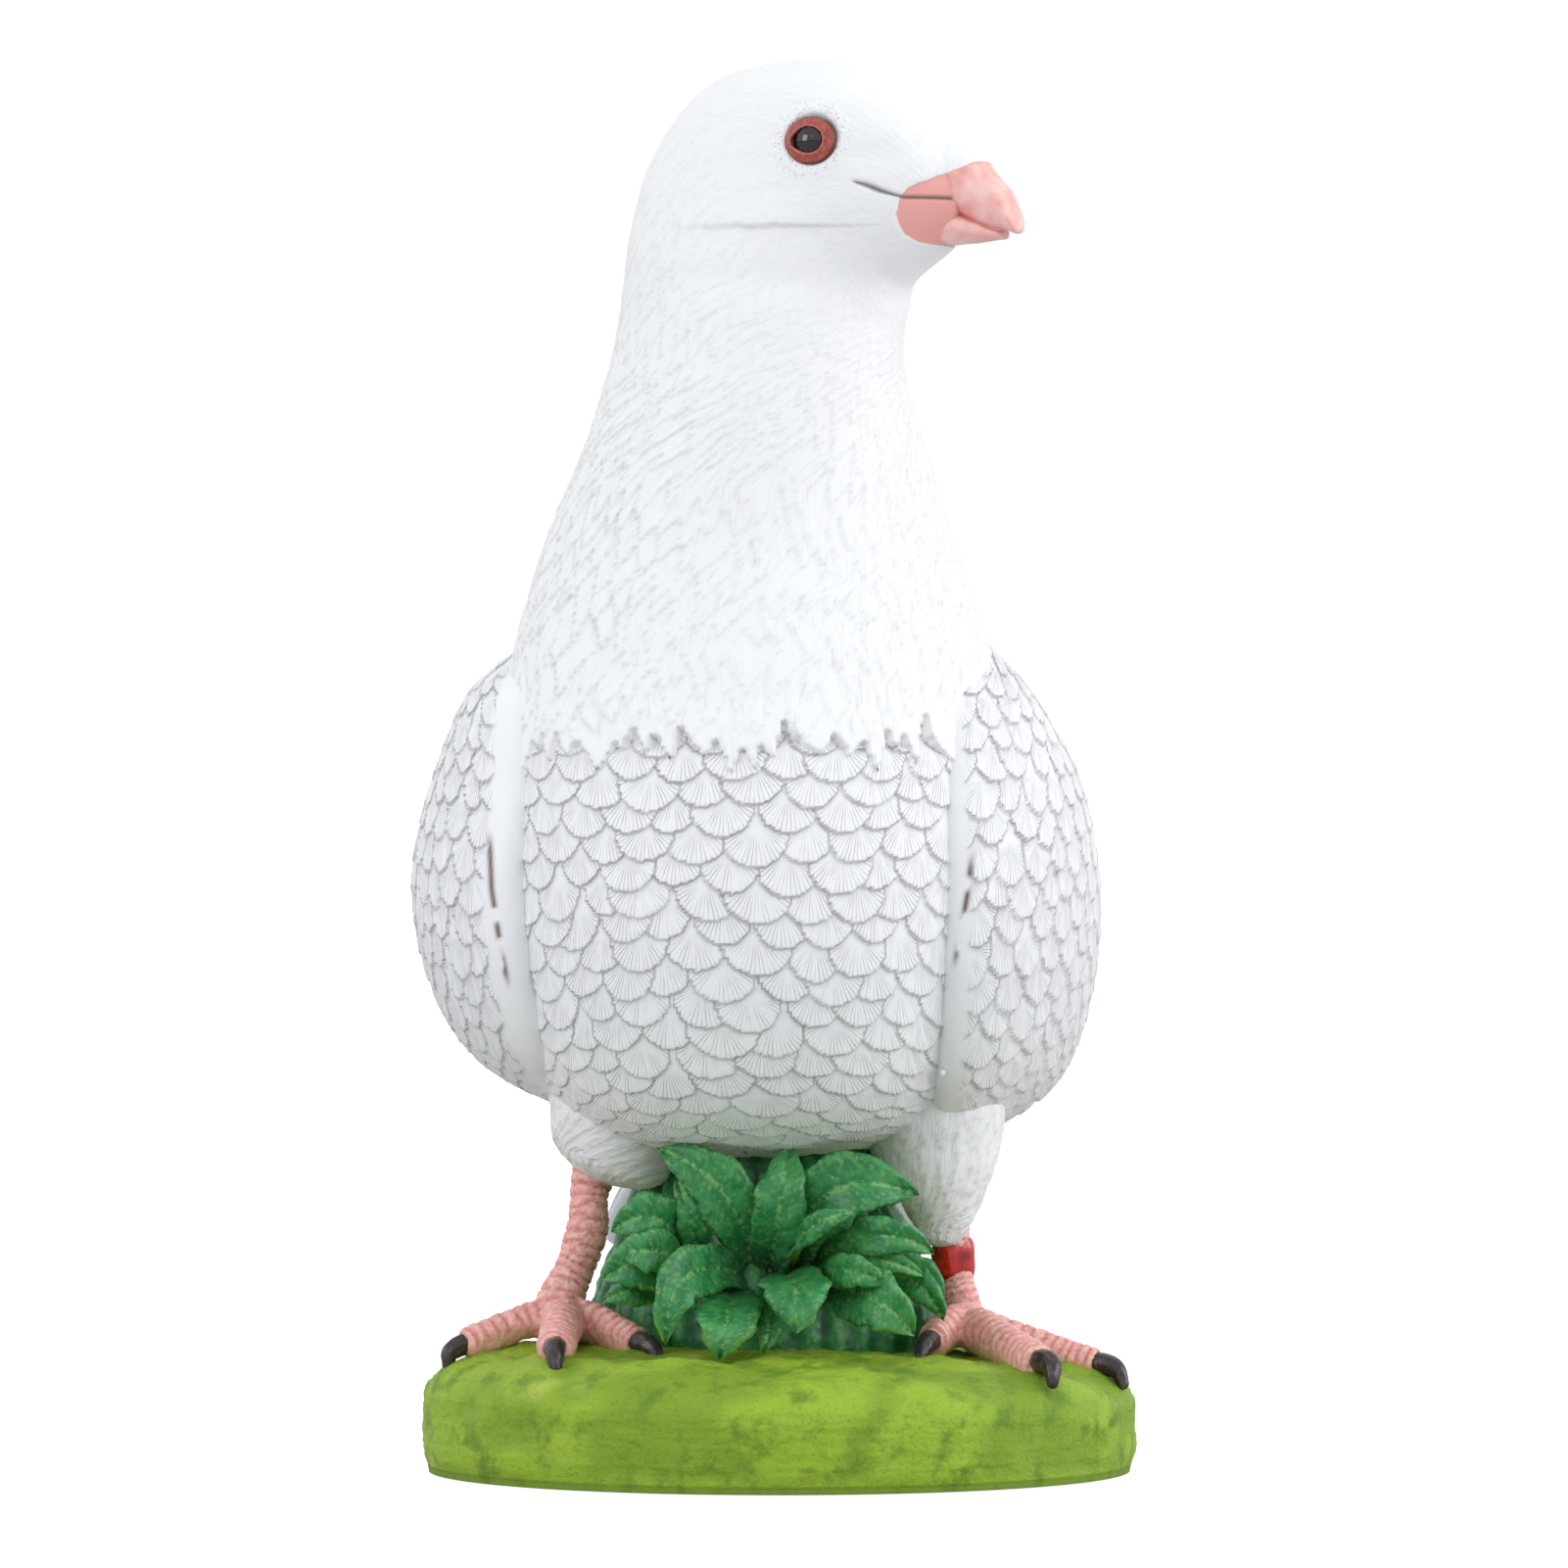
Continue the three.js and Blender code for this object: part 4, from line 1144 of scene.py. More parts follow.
@dataclass(frozen=True)
class Clump:
    """The ribbed clump of stems under the belly. Each row: height, half width, half depth, middle across and back."""

    table: tuple = ((16, 33, 27, -3, 12), (30, 33.5, 27, -3, 12), (44, 29, 24, -3, 14), (56, 24, 22, -4, 16), (70, 21, 22, -5, 20))
    stems: int = 34

    def shell(self) -> Shell:
        """A closed skin whose radius swells at each stem, with the stems leaning and forking by noise."""
        s = np.linspace(0.0, len(self.table) - 1.0, 90)
        angle = np.linspace(0.0, FULL_TURN, 170, endpoint=False)[None, :]
        up, wide, deep, x, y = np.moveaxis(along(self.table, s), -1, 0)[..., None]
        base = np.stack(np.broadcast_arrays(x + wide * np.cos(angle), y + deep * np.sin(angle), up), -1)
        lean = angle * self.stems + 2.2 * Grain(111).at(base, 9.0)
        rib = np.abs(np.cos(lean / 2)) ** 0.7
        height = 1.3 * rib - 0.9 + 0.4 * Grain(112).at(base, 2.0, 2)
        # The last value is high between the stems, where the paint darkens as painted shade.
        fields = {"vein": 0.35 * smooth(0.8, 1.0, rib), "under": np.zeros_like(rib), "depth": 1.0 - rib}
        return Shell.around(base + outward(base) * height[..., None], fields)


@dataclass(frozen=True)
class Leaf:
    """One leaf: base, middle and tip of its midrib, half width, tilt in degrees and fold at the midrib."""

    base: tuple
    middle: tuple
    tip: tuple
    half: float
    tilt: float
    fold: float
    seed: int
    thickness: float = 1.7

    def shell(self) -> Shell:
        """A thin blade on a curved midrib.

        The midrib is the quadratic curve through the three points. The half width follows the sine of a bent
        share of the way, the edge waves, the midrib and the slanting side veins are cut into the upper face, and
        the lower face follows at the leaf's thickness.
        """
        rows, across = 40, 15
        t = np.linspace(0.0, 1.0, rows)
        a, b, c = (np.array(point, float) for point in (self.base, self.middle, self.tip))
        control = 2 * b - (a + c) / 2
        line = (1 - t)[:, None] ** 2 * a + (2 * t * (1 - t))[:, None] * control + t[:, None] ** 2 * c
        ahead = np.gradient(line, axis=0)
        ahead /= np.linalg.norm(ahead, axis=1, keepdims=True)
        side = np.cross(ahead, (0.0, -0.9, 0.44))
        side /= np.linalg.norm(side, axis=1, keepdims=True)
        tilt = math.radians(self.tilt)
        side = side * math.cos(tilt) + np.cross(ahead, side) * math.sin(tilt)
        face = np.cross(side, ahead)
        wide = self.half * (0.2 + 0.8 * np.sin(math.pi * np.minimum(1.0, 0.12 + t * 0.885) ** 1.15))
        wide *= np.sqrt(np.clip((1.0 - t) / 0.09, 0.0, 1.0)) * 0.97 + 0.03
        luck = np.random.default_rng(self.seed).uniform(0.0, FULL_TURN, 4)
        u = np.concatenate([np.linspace(-1.0, 1.0, across), np.linspace(1.0, -1.0, across)[1:-1]])
        upper = np.concatenate([np.ones(across, bool), np.zeros(across - 2, bool)])
        t, u = t[:, None], u[None, :]
        wave = 1.0 + 0.06 * np.sin(17 * t + luck[0]) * np.sign(u) + 0.05 * np.sin(31 * t + luck[1] + u)
        vein_phase = (t * self.length(line) / 2.1 - np.abs(u) * self.half * 0.36)
        vein = bell(np.abs(vein_phase - np.round(vein_phase)) / 0.16, 1.0) * smooth(0.08, 0.2, np.abs(u))
        rib = bell(np.abs(u) * wide[:, None], 0.42)
        curl = self.fold * np.abs(u) ** 1.3 - 0.9 * u**4 * t + 0.32 * np.sin(9 * t + luck[2] + 2 * u) * np.abs(u)
        taper = np.sqrt(np.clip(1.0 - u**2, 0.0, 1.0))
        top = 0.5 * self.thickness * taper - 0.3 * rib - 0.22 * vein * np.abs(u) ** 0.3 + 0.1
        lift = curl + np.where(upper[None, :], top, -0.5 * self.thickness * taper - 0.1)
        points = line[:, None] + side[:, None] * (wide[:, None] * u * wave)[..., None] + face[:, None] * lift[..., None]
        shown = upper[None, :] * np.ones_like(lift)
        edge = smooth(0.8, 0.97, np.abs(u)) * shown
        low = smooth(0.62, 1.0, t) * smooth(34.0, 26.0, points[..., 2])
        # The depth value marks the leaf's base, which the paint darkens as painted shade.
        fields = {
            "vein": np.clip(0.9 * rib * (t > 0.12) + 0.6 * vein * (np.abs(u) < 0.9) + 0.7 * edge, 0, 1) * shown,
            "under": np.clip(1.0 - shown + 0.8 * low * np.abs(u) ** 2, 0, 1),
            "depth": smooth(0.35, 0.0, t + 0 * u),
        }
        return Shell.around(points, fields)

    @staticmethod
    def length(line: Array) -> float:
        """Length of the midrib."""
        return float(lengthwise(line)[-1])


LEAVES = (
    ((-5, -6, 37.2), (-9.9, -24, 54), (-22.9, -20, 63), 6, -25, 1.5),
    ((-4.9, -6, 38.7), (-6.3, -16, 50.2), (-8.6, -16, 59.7), 3, 0, 1),
    ((-1.8, -6, 37.8), (-0.1, -24, 51.5), (1.9, -18, 63.5), 5.2, 10, 1.5),
    ((0.8, -6, 38.5), (10.2, -23, 54.7), (26, -19, 54.1), 7, 20, 2),
    ((2.1, -6, 39), (6, -28, 47.8), (14.1, -27, 50.9), 2.6, 10, 1),
    ((5.7, -6, 39.3), (17.7, -25, 46.5), (29.1, -22, 43.2), 4, 25, 1.4),
    ((7.4, -6, 38.5), (17.7, -24, 42), (27.7, -20, 38.6), 2.6, 30, 1),
    ((19.7, -6, 37.9), (26.7, -20, 37), (31.4, -17, 30.3), 3.2, 30, 1),
    ((15.9, -6, 36.6), (25.3, -14, 38.8), (31.5, -12, 33.2), 4, 20, 1),
    ((6.4, -6, 36.9), (13, -29, 40.1), (21.1, -32, 37.5), 3.4, 35, 1),
    ((8.7, -6, 35), (17.6, -31, 35.1), (25.4, -33, 28.6), 6, 30, 1.5),
    ((0.8, -6, 37.6), (3, -33, 36.5), (3.2, -37, 29.3), 6.6, 0, 1.6),
    ((-8.6, -6, 35), (-9.8, -33, 31.4), (-11.1, -37, 24.4), 6.4, 0, 1.6),
    ((-2, -6, 34.5), (-1.8, -28, 30.2), (-2.9, -31, 24.6), 2.6, 0, 0.8),
    ((-5, -6, 36.8), (-17.5, -31, 39.4), (-22.1, -34, 26.8), 5.2, -30, 1.6),
    ((-16, -6, 37.3), (-25.4, -25, 41.3), (-33.1, -24, 38.5), 5.6, -25, 1.5),
    ((-16.5, -6, 38.3), (-23.5, -27, 43.6), (-30.1, -25, 42.8), 4.6, -25, 1.4),
    ((-16.3, -6, 39.2), (-23.2, -24, 49.5), (-31.5, -22, 47.5), 5.2, -25, 1.6),
    ((-16, -6, 39.2), (-16.8, -22, 48.6), (-19.7, -19, 57.3), 2.8, -10, 0.9),
    ((-21.8, -6, 34), (-27.3, -24, 36.1), (-33.3, -25, 34.3), 3.2, -25, 1),
)


@dataclass(frozen=True)
class Beads:
    """Small round casting beads left in the wing creases: middle and radius of each."""

    places: tuple = (
        (36.2, -27.5, 113.0, 0.62), (34.9, -28.0, 106.9, 0.62), (31.4, -26.5, 81.4, 0.6), (31.2, -26.0, 77.8, 0.6),
    )

    def shell(self) -> Shell:
        """Little spheres, cosine and sine of two angles."""
        around = np.linspace(0.0, FULL_TURN, 16, endpoint=False)[None, :]
        rise = np.linspace(0.1, math.pi - 0.1, 10)[:, None]
        ball = np.stack(np.broadcast_arrays(np.sin(rise) * np.cos(around), np.sin(rise) * np.sin(around), np.cos(rise)), -1)
        plain = {"shaded_groove": 0 * ball[..., 0], "stain_and_mouth_shade": 0 * ball[..., 0], "vane": 0 * ball}
        return joined([Shell.around(np.array([x, y, z]) + r * ball, plain) for x, y, z, r in self.places])


class Value:
    """A shader socket that takes part in sums, so that an expression adds its own Math nodes."""

    def __init__(self, graph: "Graph", socket: bpy.types.NodeSocket) -> None:
        """Wraps an output socket of a graph."""
        self.graph = graph
        self.socket = socket

    def _math(self, operation: str, first: "Value | float", second: "Value | float" = 0.0) -> "Value":
        """One Math node on two values or numbers."""
        node = self.graph.node("ShaderNodeMath", {"operation": operation}, {0: first, 1: second})
        return Value(self.graph, node.outputs[0])

    def __add__(self, other: "Value | float") -> "Value":
        """Sum."""
        return self._math("ADD", self, other)

    __radd__ = __add__

    def __sub__(self, other: "Value | float") -> "Value":
        """Difference."""
        return self._math("SUBTRACT", self, other)

    def __rsub__(self, other: float) -> "Value":
        """Difference from a number."""
        return self._math("SUBTRACT", other, self)

    def __mul__(self, other: "Value | float") -> "Value":
        """Product."""
        return self._math("MULTIPLY", self, other)

    __rmul__ = __mul__

    def __pow__(self, other: float) -> "Value":
        """Power."""
        return self._math("POWER", self, other)

    def wave(self) -> "Value":
        """0 to 1 and back once for each whole step of the value: half of 1 plus the cosine of a turn."""
        return self._math("COSINE", self * FULL_TURN) * 0.5 + 0.5

    def floor(self) -> "Value":
        """Whole part."""
        return self._math("FLOOR", self)

    def between(self, low: float, high: float) -> "Value":
        """Smooth ramp from 0 at low to 1 at high, which may be the lower one."""
        settings = {"interpolation_type": "SMOOTHSTEP"}
        if low < high:
            node = self.graph.node("ShaderNodeMapRange", settings, {0: self, 1: low, 2: high, 3: 0.0, 4: 1.0})
        else:
            node = self.graph.node("ShaderNodeMapRange", settings, {0: self, 1: high, 2: low, 3: 1.0, 4: 0.0})
        return Value(self.graph, node.outputs[0])

    def clamped(self) -> "Value":
        """Kept between 0 and 1."""
        node = self.graph.node("ShaderNodeClamp", {}, {0: self, 1: 0.0, 2: 1.0})
        return Value(self.graph, node.outputs[0])


def srgb(red: int, green: int, blue: int) -> tuple[float, float, float, float]:
    """Linear colour of an 8-bit screen colour: the power curve of sRGB, undone."""
    linear = [((c / 255 + 0.055) / 1.055) ** 2.4 if c > 10 else c / 255 / 12.92 for c in (red, green, blue)]
    return (*linear, 1.0)


class Graph:
    """The nodes of one material, ending in a Principled shader."""

    def __init__(self, name: str) -> None:
        """Starts an empty material."""
        self.material = bpy.data.materials.new(name)
        self.material.use_nodes = True
        self.tree = self.material.node_tree
        self.tree.nodes.clear()

    def node(self, kind: str, settings: dict | None = None, sockets: dict | None = None) -> bpy.types.Node:
        """Adds a node.

        Args:
            kind: its type.
            settings: its properties, set first, such as a Math node's operation.
            sockets: its inputs by name or number, each a wrapped socket to link or a plain value.

        Returns:
            The node.
        """
        made = self.tree.nodes.new(kind)
        for key, value in (settings or {}).items():
            setattr(made, key, value)
        for key, value in (sockets or {}).items():
            if isinstance(value, Value):
                self.tree.links.new(value.socket, made.inputs[key])
            else:
                made.inputs[key].default_value = value
        return made

    def field(self, name: str) -> Value:
        """A number stored on the points."""
        return Value(self, self.node("ShaderNodeAttribute", {"attribute_name": name}).outputs["Fac"])

    def arrow(self, name: str) -> Value:
        """A vector stored on the points."""
        return Value(self, self.node("ShaderNodeAttribute", {"attribute_name": name}).outputs["Vector"])

    def place(self) -> Value:
        """Object coordinates, in metres."""
        return Value(self, self.node("ShaderNodeTexCoord").outputs["Object"])

    def scaled(self, arrow: Value, by: tuple[float, float, float]) -> Value:
        """A vector stretched on each axis."""
        node = self.node("ShaderNodeVectorMath", {"operation": "MULTIPLY"}, {0: arrow, 1: by})
        return Value(self, node.outputs[0])

    def parts(self, arrow: Value) -> tuple[Value, Value, Value]:
        """The three numbers of a vector."""
        node = self.node("ShaderNodeSeparateXYZ", {}, {0: arrow})
        return Value(self, node.outputs[0]), Value(self, node.outputs[1]), Value(self, node.outputs[2])

    def packed(self, x: Value, y: Value, z: Value | float) -> Value:
        """A vector of three numbers."""
        return Value(self, self.node("ShaderNodeCombineXYZ", {}, {0: x, 1: y, 2: z}).outputs[0])

    def noise(self, arrow: Value, scale: float, detail: float = 2.0, roughness: float = 0.5) -> Value:
        """Noise texture, 0 to 1."""
        sockets = {"Vector": arrow, "Scale": scale, "Detail": detail, "Roughness": roughness}
        return Value(self, self.node("ShaderNodeTexNoise", {}, sockets).outputs["Fac"])

    def cells(self, arrow: Value, scale: float) -> Value:
        """Distance to the nearest of scattered points."""
        node = self.node("ShaderNodeTexVoronoi", {}, {"Vector": arrow, "Scale": scale})
        return Value(self, node.outputs["Distance"])

    def mix(self, share: Value, first: "Value | tuple", second: "Value | tuple") -> Value:
        """Colour between two colours."""
        node = self.node("ShaderNodeMix", {"data_type": "RGBA"}, {0: share, 6: first, 7: second})
        return Value(self, node.outputs[2])

    def bumped(self, height: Value, distance: float) -> Value:
        """Normal of a height of 0 to 1, for a full height of that many millimetres."""
        return Value(self, self.node("ShaderNodeBump", {}, {"Height": height, "Distance": distance * MM}).outputs[0])

    def finish(self, colour: "Value | tuple", roughness: "Value | float", normal: Value | None,
               **constants: float) -> bpy.types.Material:
        """Links a Principled shader to the output.

        Args:
            colour: base colour.
            roughness: roughness.
            normal: bumped normal, or None.
            constants: plain values of other sockets, with underscores for spaces.

        Returns:
            The material.
        """
        sockets = {"Base Color": colour, "Roughness": roughness}
        sockets.update({name.replace("_", " "): value for name, value in constants.items()})
        if normal is not None:
            sockets["Normal"] = normal
        shader = self.node("ShaderNodeBsdfPrincipled", {}, sockets)
        output = self.node("ShaderNodeOutputMaterial")
        self.tree.links.new(shader.outputs[0], output.inputs["Surface"])
        return self.material


@dataclass(frozen=True)
class FanWhite:
    """Satin white paint over fan feathers: grey painted shade under each edge and in the thin barb lines."""

    ground: tuple = srgb(243, 244, 247)
    painted_shade_colour: tuple = srgb(150, 151, 157)
    bare: tuple = srgb(96, 62, 52)

    def material(self) -> bpy.types.Material:
        """Barb lines are cosines of the barb number, thinned by a power and broken up by noise."""
        graph = Graph("fan_white")
        place = graph.place()
        barb, reach, luck = graph.parts(graph.arrow("vane"))
        wobble = graph.noise(place, 900.0, 2.0)
        lines = (barb + wobble * 0.5 + 0.25).wave() ** 5.0
        each = graph.noise(graph.packed((barb + 0.5).floor() * 1.7, luck * 23.0, reach * 1.1), 1.0, 1.0)
        strength = reach.between(0.18, 0.62) * each.between(0.32, 0.62)
        lines = lines * strength
        shaded_groove = graph.field("shaded_groove")
        grain = graph.noise(place, 1500.0, 3.0)
        # Grey under the feather edges and in the barb lines is painted shade.
        colour = graph.mix((shaded_groove * 0.42 + lines * 0.38).clamped(), self.ground, self.painted_shade_colour)
        colour = graph.mix(graph.field("stain_and_mouth_shade").clamped(), colour, self.bare)
        height = 0.75 + grain * 0.12 - lines * 0.75 - shaded_groove * 0.2
        return graph.finish(colour, 0.46, graph.bumped(height, 0.16), Specular_IOR_Level=0.4)


@dataclass(frozen=True)
class DownWhite:
    """Satin white paint over fine tufts and strokes, with the pink of the bill where it spills onto the face."""

    ground: tuple = srgb(244, 245, 247)
    painted_shade_colour: tuple = srgb(152, 153, 158)
    grey: tuple = srgb(128, 118, 115)

    def material(self, pink: tuple) -> bpy.types.Material:
        """Strokes are noise stretched along the flow of the tufts, and pits ring the eye.

        Args:
            pink: colour of the bill's paint.

        Returns:
            The material.
        """
        graph = Graph("down_white")
        place = graph.place()
        flow = graph.arrow("flow")
        coarse = graph.field("coarse")
        face = graph.field("face")
        hair = graph.noise(graph.scaled(flow, (2.3, 2.3, 0.24)), 1.0, 3.0, 0.62)
        lock = graph.noise(graph.scaled(flow, (0.8, 0.8, 0.11)), 1.0, 2.0, 0.5)
        strokes = hair * 0.7 + lock * 0.5
        cut = strokes.between(0.56, 0.36) * (0.35 + coarse * 0.65) * (1.0 - face * 0.9)
        pits = graph.cells(place, 1500.0).between(0.32, 0.1) * face
        shaded_groove = graph.field("shaded_groove")
        # Grey in the tuft furrows, the stroke hollows and the pits about the eye is painted shade.
        colour = graph.mix((shaded_groove * 0.3 + cut * 0.22 + pits * 0.3).clamped(), self.ground, self.painted_shade_colour)
        painted = graph.field("pink").between(-0.12, 0.12)
        colour = graph.mix(painted, colour, pink)
        # Grey along the mouth line is painted shade; the thighs carry none.
        colour = graph.mix(graph.field("stain_and_mouth_shade").clamped(), colour, self.grey)
        height = 0.5 + strokes * 0.9 * (0.3 + coarse * 0.7) * (1.0 - face * 0.7) * (1.0 - painted) - pits * 0.5
        return graph.finish(colour, 0.46, graph.bumped(height, 0.34), Specular_IOR_Level=0.4)


@dataclass(frozen=True)
class BillPink:
    """Glossier pink paint of the bill, with the white of the cere above its edge."""

    pink: tuple = srgb(240, 170, 164)
    deep: tuple = srgb(198, 108, 104)
    pale: tuple = srgb(250, 205, 198)
    white: tuple = srgb(244, 245, 247)

    def material(self) -> bpy.types.Material:
        """Two noises cloud the pink, the seam is a deeper pink as painted shade, and the edge of the paint is crisp."""
        graph = Graph("bill_pink")
        place = graph.place()
        cloud = graph.noise(place, 240.0, 4.0)
        colour = graph.mix(cloud.between(0.35, 0.7), self.pink, self.pale)
        edge = graph.field("pink")
        # Deeper pink in the seam is painted shade.
        colour = graph.mix((graph.field("shaded_groove") * 0.8 + edge.between(0.9, 0.0) * 0.25).clamped(), colour, self.deep)
        colour = graph.mix(edge.between(0.12, -0.12), colour, self.white)
        height = graph.noise(place, 700.0, 3.0) * 0.6 - graph.field("shaded_groove") * 0.6
        return graph.finish(colour, 0.3, graph.bumped(height, 0.12), Specular_IOR_Level=0.5)


@dataclass(frozen=True)
class LegPink:
    """Pink paint of legs and toes: paler on the scutes, deeper in the creases as painted shade, mossy at the soles."""

    pink: tuple = srgb(238, 168, 160)
    pale: tuple = srgb(248, 206, 199)
    deep: tuple = srgb(196, 104, 100)
    moss: tuple = srgb(150, 168, 70)

    def material(self) -> bpy.types.Material:
        """Painted shade in the creases and dry-brushed tops, by the crease value and two noises."""
        graph = Graph("leg_pink")
        place = graph.place()
        shaded_groove = graph.field("shaded_groove")
        brush = graph.noise(place, 900.0, 3.0).between(0.42, 0.62)
        colour = graph.mix(brush * (1.0 - shaded_groove) * 0.75, self.pink, self.pale)
        # Deeper pink in the creases is painted shade; the noise adds patches of deeper tone.
        dark = (shaded_groove * 0.5 + graph.noise(place, 420.0, 3.0).between(0.55, 0.75) * 0.3).clamped()
        colour = graph.mix(dark, colour, self.deep)
        colour = graph.mix(graph.field("low") * graph.noise(place, 500.0, 2.0).between(0.4, 0.6) * 0.5, colour, self.moss)
        height = graph.noise(place, 1300.0, 4.0) - shaded_groove * 0.5
        return graph.finish(colour, 0.42, graph.bumped(height, 0.16), Specular_IOR_Level=0.45)


@dataclass(frozen=True)
class ClawDark:
    """Glossy brown-black claws with worn pinkish streaks."""

    dark: tuple = srgb(52, 42, 44)
    worn: tuple = srgb(118, 98, 96)

    def material(self) -> bpy.types.Material:
        """Streaks of noise stretched down the claw."""
        graph = Graph("claw_dark")
        place = graph.place()
        streak = graph.noise(graph.scaled(place, (1.0, 1.0, 0.4)), 900.0, 4.0).between(0.52, 0.75)
        colour = graph.mix(streak * 0.7, self.dark, self.worn)
        return graph.finish(colour, 0.26, graph.bumped(graph.noise(place, 900.0, 3.0), 0.12), Specular_IOR_Level=0.5)


@dataclass(frozen=True)
class RedEnamel:
    """Thick wet red enamel."""

    red: tuple = srgb(196, 4, 14)
    dark: tuple = srgb(132, 2, 10)

    def material(self) -> bpy.types.Material:
        """Slightly pooled colour under a clear coat."""
        graph = Graph("red_enamel")
        place = graph.place()
        colour = graph.mix(graph.noise(place, 260.0, 2.0).between(0.4, 0.75), self.red, self.dark)
        bump = graph.bumped(graph.noise(place, 420.0, 2.0), 0.18)
        return graph.finish(colour, 0.22, bump, Coat_Weight=0.6, Coat_Roughness=0.06, Specular_IOR_Level=0.5)


@dataclass(frozen=True)
class LidPaint:
    """Red-brown lid, lighter on its inner roll and darker at its rim."""

    red: tuple = srgb(156, 68, 60)
    light: tuple = srgb(206, 122, 108)
    dark: tuple = srgb(96, 36, 34)

    def material(self) -> bpy.types.Material:
        """Colour by the share of the way out, streaked by noise."""
        graph = Graph("lid_paint")
        place = graph.place()
        share = graph.field("share")
        streak = graph.noise(place, 1500.0, 3.0).between(0.35, 0.7)
        colour = graph.mix(streak * 0.45, self.red, self.light)
        colour = graph.mix(share.between(0.3, 0.08) * 0.7, colour, self.light)
        colour = graph.mix(share.between(0.78, 1.0) * 0.9, colour, self.dark)
        return graph.finish(colour, 0.36, graph.bumped(graph.noise(place, 1700.0, 3.0), 0.12), Specular_IOR_Level=0.45)


@dataclass(frozen=True)
class EyeGloss:
    """Black glass bead with a breath of brown."""

    black: tuple = srgb(9, 6, 7)
    brown: tuple = srgb(26, 14, 12)

    def material(self) -> bpy.types.Material:
        """Nearly black, clouded a little by noise, under a hard clear coat."""
        graph = Graph("eye_gloss")
        colour = graph.mix(graph.noise(graph.place(), 300.0, 2.0), self.black, self.brown)
        return graph.finish(colour, 0.04, None, Coat_Weight=0.5, Coat_Roughness=0.02, Specular_IOR_Level=0.6)


@dataclass(frozen=True)
class LeafGreen:
    """Leaf paint: mid green with dry-brushed veins and edges, painted shade at the leaf bases and between the stems,
    and yellow-green below.
    """

    green: tuple = srgb(32, 122, 66)
    bright: tuple = srgb(62, 150, 86)
    dark: tuple = srgb(12, 62, 38)
    vein: tuple = srgb(146, 196, 118)
    under: tuple = srgb(150, 184, 58)

    def material(self) -> bpy.types.Material:
        """Veins and edges come from the leaf, and noise breaks up the brush marks."""
        graph = Graph("leaf_green")
        place = graph.place()
        colour = graph.mix(graph.noise(place, 320.0, 3.0).between(0.4, 0.68), self.green, self.bright)
        # Dark at the leaf bases and between the stems is painted shade, with patches of darker tone by noise.
        depth = (graph.field("depth") * 0.85 + graph.noise(place, 170.0, 3.0).between(0.55, 0.78) * 0.5).clamped()
        colour = graph.mix(depth, colour, self.dark)
        broken = graph.noise(place, 950.0, 3.0).between(0.42, 0.6)
        flecks = graph.noise(graph.scaled(place, (1.0, 1.0, 0.5)), 1300.0, 4.0).between(0.62, 0.74)
        vein = graph.field("vein") * broken
        colour = graph.mix((vein * 0.8 + flecks * 0.45).clamped(), colour, self.vein)
        colour = graph.mix((graph.field("under") * 0.9).clamped(), colour, self.under)
        height = graph.noise(place, 900.0, 4.0) * 0.7 - graph.field("vein") * 0.3
        return graph.finish(colour, 0.4, graph.bumped(height, 0.16), Specular_IOR_Level=0.45)


@dataclass(frozen=True)
class MossGreen:
    """Yellow-green moss with painted shade in its hollows and sponge pits, pale worn patches and a smooth dark band
    along the bottom.
    """

    moss: tuple = srgb(158, 190, 52)
    dark: tuple = srgb(98, 136, 30)
    pale: tuple = srgb(198, 210, 100)
    band: tuple = srgb(92, 122, 40)

    def material(self) -> bpy.types.Material:
        """Colours mix by noise at three sizes, and sponge-like bumps cover all but the band."""
        graph = Graph("moss_green")
        place = graph.place()
        low = graph.field("low")
        mottle = graph.noise(place, 150.0, 5.0, 0.62)
        sponge = graph.noise(place, 1100.0, 4.0, 0.7)
        colour = graph.mix((mottle.between(0.48, 0.68) * 0.8).clamped(), self.moss, self.dark)
        # Dark in the low lumps is painted shade.
        colour = graph.mix((graph.field("shade") * 0.45).clamped(), colour, self.dark)
        colour = graph.mix(graph.field("wet") * graph.noise(place, 70.0, 3.0).between(0.5, 0.7) * 0.7, colour, self.pale)
        # Dark in the low points of the sponge bumps is painted shade.
        colour = graph.mix(sponge.between(0.48, 0.34) * 0.4, colour, self.dark)
        colour = graph.mix(low * 0.6, colour, self.band)
        height = sponge * (1.0 - low * 0.9)
        return graph.finish(colour, 0.6, graph.bumped(height, 0.5), Specular_IOR_Level=0.35)


@dataclass(frozen=True)
class FloorWhite:
    """Plain pale floor, which glows to the eye so that it runs into the white surroundings."""

    pale: tuple = (0.5, 0.5, 0.5, 1.0)
    worn: tuple = (0.53, 0.53, 0.53, 1.0)
    glow: float = 0.84

    def material(self) -> bpy.types.Material:
        """Matt and faintly mottled, with a glow that lights nothing."""
        graph = Graph("floor_white")
        tone = graph.mix(graph.noise(graph.place(), 3.0, 2.0), self.pale, self.worn)
        seen = Value(graph, graph.node("ShaderNodeLightPath").outputs["Is Camera Ray"])
        glow = graph.mix(seen, (0.0, 0.0, 0.0, 1.0), (1.0, 1.0, 1.0, 1.0))
        return graph.finish(tone, 0.7, None, Emission_Color=glow, Emission_Strength=self.glow,
                            Specular_IOR_Level=0.0)


